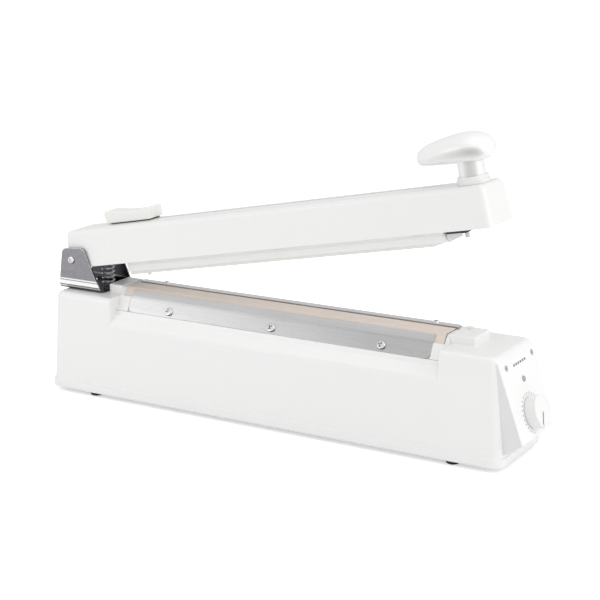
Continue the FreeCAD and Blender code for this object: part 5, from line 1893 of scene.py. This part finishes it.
@dataclass(frozen=True)
class ArmCover:
    """Drafted cover of the arm with the cutter's slot.

    Attributes:
        heel: hinge end.
        reach: free end.
        low: lower rim.
        top: upper face.
        half: half the width at the rim.
        wall: wall thickness.
    """

    heel: float = -7.7
    reach: float = 406.1
    low: float = -7.8
    top: float = 24.6
    half: float = 21.5
    wall: float = 2.0
    draft: float = 2.25
    end_draft: float = 2.7

    def section(self, z: float) -> Slab:
        """Give the cover's rectangle at a height.

        Args:
            z: the height.

        Returns:
            The rectangle.
        """
        rise = (z - self.low) / (self.top - self.low)
        return Slab(self.heel + self.end_draft * rise, self.reach - self.end_draft * rise,
                    self.half - self.draft * rise, z)

    def build(self) -> None:
        """Model the cover and its bosses."""
        cover = drafted("arm_cover", self.section(self.low), self.section(self.top), 5.0, 6)
        round_edges(cover, lambda at, way: at.z > self.top - 0.1, 3.5, 5)
        slot = block("slot", (45.0, 4.8, 15.0), (357.0, 8.2, 30.0))
        round_edges(slot, lambda at, way: abs(way.z) > 0.9, 1.4, 4)
        roof = self.top - self.wall
        inside = drafted("inside", self.section(self.low - 0.5).inset(self.wall),
                         self.section(roof).inset(self.wall), 3.2, 4)
        round_edges(inside, lambda at, way: at.z > roof - 0.1, 1.6, 3)
        carve(cover, inside)
        round_edges(cover, lambda at, way: at.z < self.low + 0.01 and abs(way.z) < 0.1, 0.35, 2)
        spots = [(s, y, -4.5) for s in (30.0, 80.0, 210.0, 340.0) for y in (-15.6, 15.6)]
        spots += [(378.5, y, -8.1) for y in (-10.5, 10.5)]
        for s, y, low in spots:
            weld(cover, bar("boss", (s, y, (low + roof + 1.0) / 2), 2.8, roof + 1.0 - low, Axis.Z, 20))
        carve(cover, slot, bar("bolt_hole", (387.3, 0.0, 20.0), 3.1, 30.0, Axis.Z, 24))
        carve(cover, bar("sleeve_hole", (0.0, 0.0, 0.0), 4.55, 60.0, Axis.Y, 36))
        smooth(cover, 30.0)
        present(cover, AT_ARM, Body.ARM, "white_arm", "arm_shell")


@dataclass(frozen=True)
class UpperJaw:
    """Carrier, silicone strip, pusher plate and their screws.

    Attributes:
        start: hinge end of the carrier.
        end: outer end of the carrier.
        floor: underside of the carrier.
        flange: top of its flanges.
        strip: underside of the silicone.
    """

    start: float = 52.0
    end: float = 364.0
    floor: float = -17.0
    flange: float = -4.5
    strip: float = -19.7
    groove: float = 6.5

    def build_carrier(self) -> None:
        """Model the hat-shaped carrier with its slot."""
        wide, web, inner = 19.0, 13.0, 11.0
        low = self.flange - 2.0
        full = web + 0.6
        points = [(-wide, low), (-full, low), (-full, -11.2), (-web, -11.3), (-web, self.floor), (web, self.floor),
                  (web, -11.3), (full, -11.2), (full, low), (wide, low),
                  (wide, self.flange), (inner, self.flange), (inner, self.floor + 2.5),
                  (-inner, self.floor + 2.5), (-inner, self.flange), (-wide, self.flange)]
        carrier = prism_x("carrier", points, (self.start, self.end))
        carve(carrier, block("slot", (self.start - 5.0, self.groove - 1.8, -25.0),
                             (self.end - 10.0, self.groove + 1.8, -10.0)))
        weld(carrier, block("cap", (self.end - 0.5, -web + 0.1, self.floor + 0.1), (self.end + 0.6, web - 0.1, -8.4)))
        soften(carrier, 0.4, 2, 40.0)
        smooth(carrier, 30.0)
        present(carrier, AT_ARM, Body.ARM, "carrier_white", "jaw_carrier")

    def build_strip(self) -> None:
        """Model the silicone strip with its sloping end."""
        first, last = self.start + 1.0, self.end - 2.0
        points = [(first, self.floor), (first, self.strip), (last - 12.0, self.strip), (last, self.floor)]
        strip = prism_y("silicone", points, (-11.5, 3.5))
        soften(strip, 0.35, 3, 20.0)
        smooth(strip, 40.0)
        present(strip, AT_ARM, Body.ARM, "silicone_white", "silicone_strip")

    def build_pusher(self) -> None:
        """Model the black pusher plate with its collar."""
        plate = block("pusher", (365.0, -17.0, -10.1), (383.5, 17.0, -8.1))
        round_edges(plate, lambda at, way: abs(way.z) > 0.9, 1.5, 4)
        weld(plate, bar("collar", (370.5, 8.4, -10.3), 3.0, 2.0, Axis.Z, 36))
        carve(plate, bar("bore", (370.5, 8.4, -11.0), 1.93, 12.0, Axis.Z, 32))
        soften(plate, 0.3, 3, 40.0)
        smooth(plate, 30.0)
        present(plate, AT_ARM, Body.ARM, "black_plastic", "pusher_plate")

    def build(self) -> None:
        """Model the upper jaw."""
        self.build_carrier()
        self.build_strip()
        self.build_pusher()
        spots = [(s, y, self.flange - 2.0) for s in (30.0, 80.0, 210.0, 340.0) for y in (-15.6, 15.6)]
        screws = CrossScrew(2.5, 1.2).place("carrier_screws", spots, (0.0, 0.0, -1.0), (8.0, 63.0, 31.0))
        present(screws, AT_ARM, Body.ARM, "pin_steel")
        spots = [(378.5, y, -10.1) for y in (-10.5, 10.5)]
        screws = CrossScrew(2.4, 1.1).place("pusher_screws", spots, (0.0, 0.0, -1.0), (20.0, 50.0))
        present(screws, AT_ARM, Body.ARM, "pin_steel")


@dataclass(frozen=True)
class Handle:
    """Pear-shaped knob on a stem, with a stepped collar below it.

    Attributes:
        s: place of the stem along the arm.
        top: upper face of the arm.
        underside: lowest point of the knob's grip.
        height: height of the grip.
        half: half its width.
    """

    s: float = 387.3
    top: float = 24.6
    underside: float = 40.3
    height: float = 24.1
    half: float = 19.3
    tip: float = 343.0
    back: float = 408.1
    form: tuple[tuple[float, float, float, float], ...] = (
        (0.0, 0.20, 0.36, 0.06), (0.015, 0.13, 0.48, 0.20), (0.05, 0.065, 0.60, 0.34), (0.12, 0.05, 0.70, 0.49),
        (0.22, 0.03, 0.785, 0.63), (0.34, 0.025, 0.87, 0.77), (0.48, 0.005, 0.945, 0.90), (0.62, 0.0, 0.99, 0.98),
        (0.73, 0.0, 1.0, 1.0), (0.83, 0.02, 0.95, 0.94), (0.91, 0.06, 0.85, 0.80), (0.96, 0.12, 0.73, 0.61),
        (0.99, 0.20, 0.57, 0.34), (1.0, 0.28, 0.44, 0.10),
    )

    def ring(self, index: int) -> tuple[Vector, Pair]:
        """Give one ring of the grip.

        Args:
            index: which one, from the tip.

        Returns:
            Its middle, and its half width and half height.
        """
        place, under, over, wide = self.form[index]
        s = self.tip + place * (self.back - self.tip)
        middle = self.underside + (under + over) / 2 * self.height
        return Vector((s, 0.0, middle)), (wide * self.half, (over - under) / 2 * self.height)

    def build_knob(self) -> None:
        """Model the grip ring by ring, then weld the stem to it."""
        clear()
        middle, (wide, high) = self.ring(0)
        bpy.ops.mesh.primitive_circle_add(vertices=24, radius=1.0, fill_type="NGON", location=middle,
                                          rotation=(0.0, math.pi / 2, 0.0))
        knob = bake(bpy.context.object)
        knob.name = "knob"
        choose_all(knob)
        bpy.ops.transform.resize(value=(1.0, wide, high), center_override=middle)
        for index in range(1, len(self.form)):
            following, (next_wide, next_high) = self.ring(index)
            bpy.ops.mesh.extrude_region_move(TRANSFORM_OT_translate={"value": following - middle})
            bpy.ops.transform.resize(value=(1.0, next_wide / wide, next_high / high), center_override=following)
            middle, wide, high = following, next_wide, next_high
        bpy.ops.mesh.select_all(action="SELECT")
        bpy.ops.mesh.normals_make_consistent(inside=False)
        clear()
        pick(knob)
        modifier = knob.modifiers.new("rounding", "SUBSURF")
        modifier.levels = 2
        bpy.ops.object.modifier_apply(modifier=modifier.name)
        foot = self.top + 6.0
        weld(knob, bar("stem", (self.s, 0.0, (foot + 53.0) / 2), 10.6, 53.0 - foot, Axis.Z, 96))
        carve(knob, bar("bore", (self.s, 0.0, foot), 3.02, 24.0, Axis.Z, 32))
        smooth(knob, 38.0)
        present(knob, AT_ARM, Body.ARM, "knob_white", "handle_knob")

    def build_collar(self) -> None:
        """Model the collar: a thick disc with a thinner one on it."""
        middle = (self.s, 0.0, self.top + 1.5)
        collar = bar("collar", middle, 13.0, 3.0, Axis.Z, 96)
        weld(collar, bar("upper", (self.s, 0.0, self.top + 3.0), 12.3, 6.0, Axis.Z, 96))
        carve(collar, bar("bore", middle, 3.1, 30.0, Axis.Z, 32))
        soften(collar, 0.35, 3, 40.0)
        smooth(collar, 30.0)
        present(collar, AT_ARM, Body.ARM, "collar_white", "handle_collar")

    def build(self) -> None:
        """Model the handle."""
        self.build_knob()
        self.build_collar()


@dataclass(frozen=True)
class Cutter:
    """Thumb slider above the arm.

    Attributes:
        span: its ends along the arm.
        low: underside of the slider.
        groove: plane of the blade.
        half: half its width.
    """

    span: Pair = (29.5, 78.5)
    low: float = 25.6
    groove: float = 6.5
    half: float = 10.0

    def build(self) -> None:
        """Model the slider from its side view, with soft edges and a scooped top."""
        left, right = self.span
        first, dip, last = Vector((left + 3.0, self.low + 11.4)), self.low + 8.8, Vector((right - 1.5, self.low + 10.8))
        saddle = []
        for step in range(13):
            share = step / 12
            straight = first.lerp(last, share)
            sag = 4 * share * (1 - share)
            saddle.append((straight.x, straight.y - sag * ((first.y + last.y) / 2 - dip)))
        points = [(left + 1.0, self.low), (left - 0.5, first.y - 3.0), (left + 0.8, first.y - 0.6)] + saddle + [
            (right + 0.5, last.y - 1.0), (right, self.low)]
        slider = prism_y("slider", points, (self.groove - self.half, self.groove + self.half))
        soften(slider, 1.1, 4, 25.0)
        smooth(slider, 30.0)
        present(slider, AT_ARM, Body.CUTTER, "slider_white", "cutter_slider")
        # A dark plate under the slider stands in for the shadow in the gap above the arm: painted shade.
        shadow_pad = block("slider_shadow_pad", (left + 4.0, self.groove - self.half + 1.5, self.low - 0.7),
                    (right - 2.0, self.groove + self.half - 1.5, self.low - 0.02))
        round_edges(shadow_pad, lambda at, way: abs(way.z) > 0.9, 1.5, 4)
        smooth(shadow_pad, 30.0)
        present(shadow_pad, AT_ARM, Body.CUTTER, "black_plastic")


# Studio

@dataclass(frozen=True)
class Studio:
    """Camera, lamps and pale floor.

    Attributes:
        place: the camera's place in metres.
        yaw: its turn from straight ahead in radians.
        pitch: how far it looks down.
        roll: its roll.
        lens: its focal length in millimetres.
        glow: light that the floor adds for the camera.
    """

    place: Triple = (0.67367, -1.09579, 0.45288)
    yaw: float = 0.5463
    pitch: float = 0.2662
    roll: float = -0.0152
    lens: float = 96.87
    glow: float = 0.5

    def build_camera(self) -> None:
        """Set the camera at the photograph's angle."""
        forward = Vector((-math.sin(self.yaw) * math.cos(self.pitch), math.cos(self.yaw) * math.cos(self.pitch),
                          -math.sin(self.pitch)))
        side = Vector((math.cos(self.yaw), math.sin(self.yaw), 0.0))
        up = side.cross(forward)
        right = side * math.cos(self.roll) + up * math.sin(self.roll)
        above = up * math.cos(self.roll) - side * math.sin(self.roll)
        clear()
        bpy.ops.object.camera_add()
        camera = bpy.context.object
        camera.name = "photo_camera"
        turn = Matrix((right, above, -forward)).transposed().to_4x4()
        camera.matrix_world = Matrix.Translation(self.place) @ turn
        camera.data.lens = self.lens
        camera.data.sensor_width = 36.0
        camera.data.clip_start = 0.01
        scene = bpy.context.scene
        scene.camera = camera
        scene.render.resolution_x = 600
        scene.render.resolution_y = 600

    def lamp(self, name: str, place: Triple, aim: Triple, size: float, power: float) -> None:
        """Add a soft lamp.

        Args:
            name: the lamp's name.
            place: where it hangs.
            aim: what it points at.
            size: its width.
            power: its power in watts.
        """
        clear()
        bpy.ops.object.light_add(type="AREA", location=place)
        light = bpy.context.object
        light.name = name
        light.rotation_euler = (Vector(aim) - Vector(place)).to_track_quat("-Z", "Y").to_euler()
        light.data.size = size
        light.data.energy = power

    def build_world(self) -> None:
        """Light the surroundings softly, white to the camera."""
        world = bpy.data.worlds.new("surroundings")
        bpy.context.scene.world = world
        world.use_nodes = True
        world.node_tree.nodes.clear()
        wiring = Wiring(world.node_tree)
        path = wiring.add("ShaderNodeLightPath")
        soft = wiring.add("ShaderNodeBackground", {"Color": (1.0, 1.0, 1.0, 1.0), "Strength": 0.765})
        plain = wiring.add("ShaderNodeBackground", {"Color": (1.0, 1.0, 1.0, 1.0), "Strength": 1.0})
        mixed = wiring.add("ShaderNodeMixShader", {
            0: path.outputs["Is Camera Ray"], 1: soft.outputs[0], 2: plain.outputs[0],
        })
        wiring.add("ShaderNodeOutputWorld", {"Surface": mixed.outputs[0]})

    def build_floor(self) -> None:
        """Lay the pale floor."""
        clear()
        bpy.ops.mesh.primitive_plane_add(size=12.0, location=(0.0, 0.0, 0.0))
        floor = bpy.context.object
        floor.name = "floor"
        material = bpy.data.materials.new("floor")
        material.use_nodes = True
        material.node_tree.nodes.clear()
        wiring = Wiring(material.node_tree)
        seen = wiring.add("ShaderNodeLightPath").outputs["Is Camera Ray"]
        shader = wiring.add("ShaderNodeBsdfPrincipled", {
            "Base Color": (0.96, 0.96, 0.96, 1.0), "Roughness": 0.9, "Specular IOR Level": 0.0,
            "Emission Color": (1.0, 1.0, 1.0, 1.0), "Emission Strength": wiring.math("MULTIPLY", seen, self.glow),
        })
        wiring.add("ShaderNodeOutputMaterial", {"Surface": shader.outputs[0]})
        floor.data.materials.append(material)

    def build(self) -> None:
        """Set up the studio."""
        self.build_world()
        self.build_floor()
        self.lamp("overhead", (0.5, -0.2, 2.2), (0.0, 0.0, 0.1), 2.2, 11.0)
        self.lamp("right_side", (2.2, 0.1, 0.9), (0.0, 0.0, 0.08), 1.3, 12.0)
        self.lamp("left_fill", (-0.85, -1.1, 0.45), (-0.15, 0.0, 0.08), 0.7, 2.4)
        self.build_camera()
        bpy.context.scene.view_settings.view_transform = "Standard"


NODE_FINISHES = {
    "base_housing": "white_body", "base_plate": "plate_steel", "rubber_feet": "black_rubber",
    "jaw_bar": "jaw_aluminium", "insulation_strip": "insulation_tape", "heating_ribbon": "ribbon_metal",
    "ribbon_terminals": "brass_terminal", "release_cloth": "release_cloth", "clamp_plate": "clamp_steel",
    "rear_guide": "guide_steel", "hinge_bracket": "bracket_chrome", "hinge_pin": "pin_steel",
    "return_spring": "spring_steel", "control_panel": "white_panel", "indicator_lamp": "lamp_lens",
    "timer_body": "black_plastic", "timer_shaft": "pin_steel", "timer_dial": "dial_white",
    "transformer_core": "core_steel", "transformer_coil": "coil_wrap", "transformer_strap": "plate_steel",
    "board_standoffs": "nylon_white", "circuit_board": "board_green", "switch_case": "black_plastic",
    "switch_button": "button_black", "cord_gland": "black_plastic", "arm_shell": "white_arm",
    "hinge_sleeve": "pin_steel", "heel_plate": "plate_steel", "jaw_carrier": "carrier_white",
    "silicone_strip": "silicone_white", "pusher_plate": "black_plastic", "switch_peg": "collar_white",
    "handle_knob": "knob_white", "handle_collar": "collar_white", "handle_bolt": "pin_steel",
    "cutter_slider": "slider_white", "cutter_carriage": "black_plastic", "cutter_blade": "blade_steel",
}


def dress_nodes() -> None:
    """Give every CAD node that is still shown its own finish."""
    for name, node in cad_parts.items():
        for slot in node.material_slots:
            slot.material = MATERIALS[NODE_FINISHES[name]]


def main() -> None:
    """Build the sealer and its studio, piece by piece."""
    logging.basicConfig(level=logging.INFO, format="%(message)s")
    dress_nodes()
    housing = Housing()
    for part in (housing, Feet(), HeatedJaw(), Hinge(), ControlEnd(housing), SwitchButton(), ArmCover(),
                 UpperJaw(), Handle(), Cutter(), Studio()):
        part.build()
        LOG.info("built %s", type(part).__name__)
    clear()


if __name__ == "__main__":
    main()
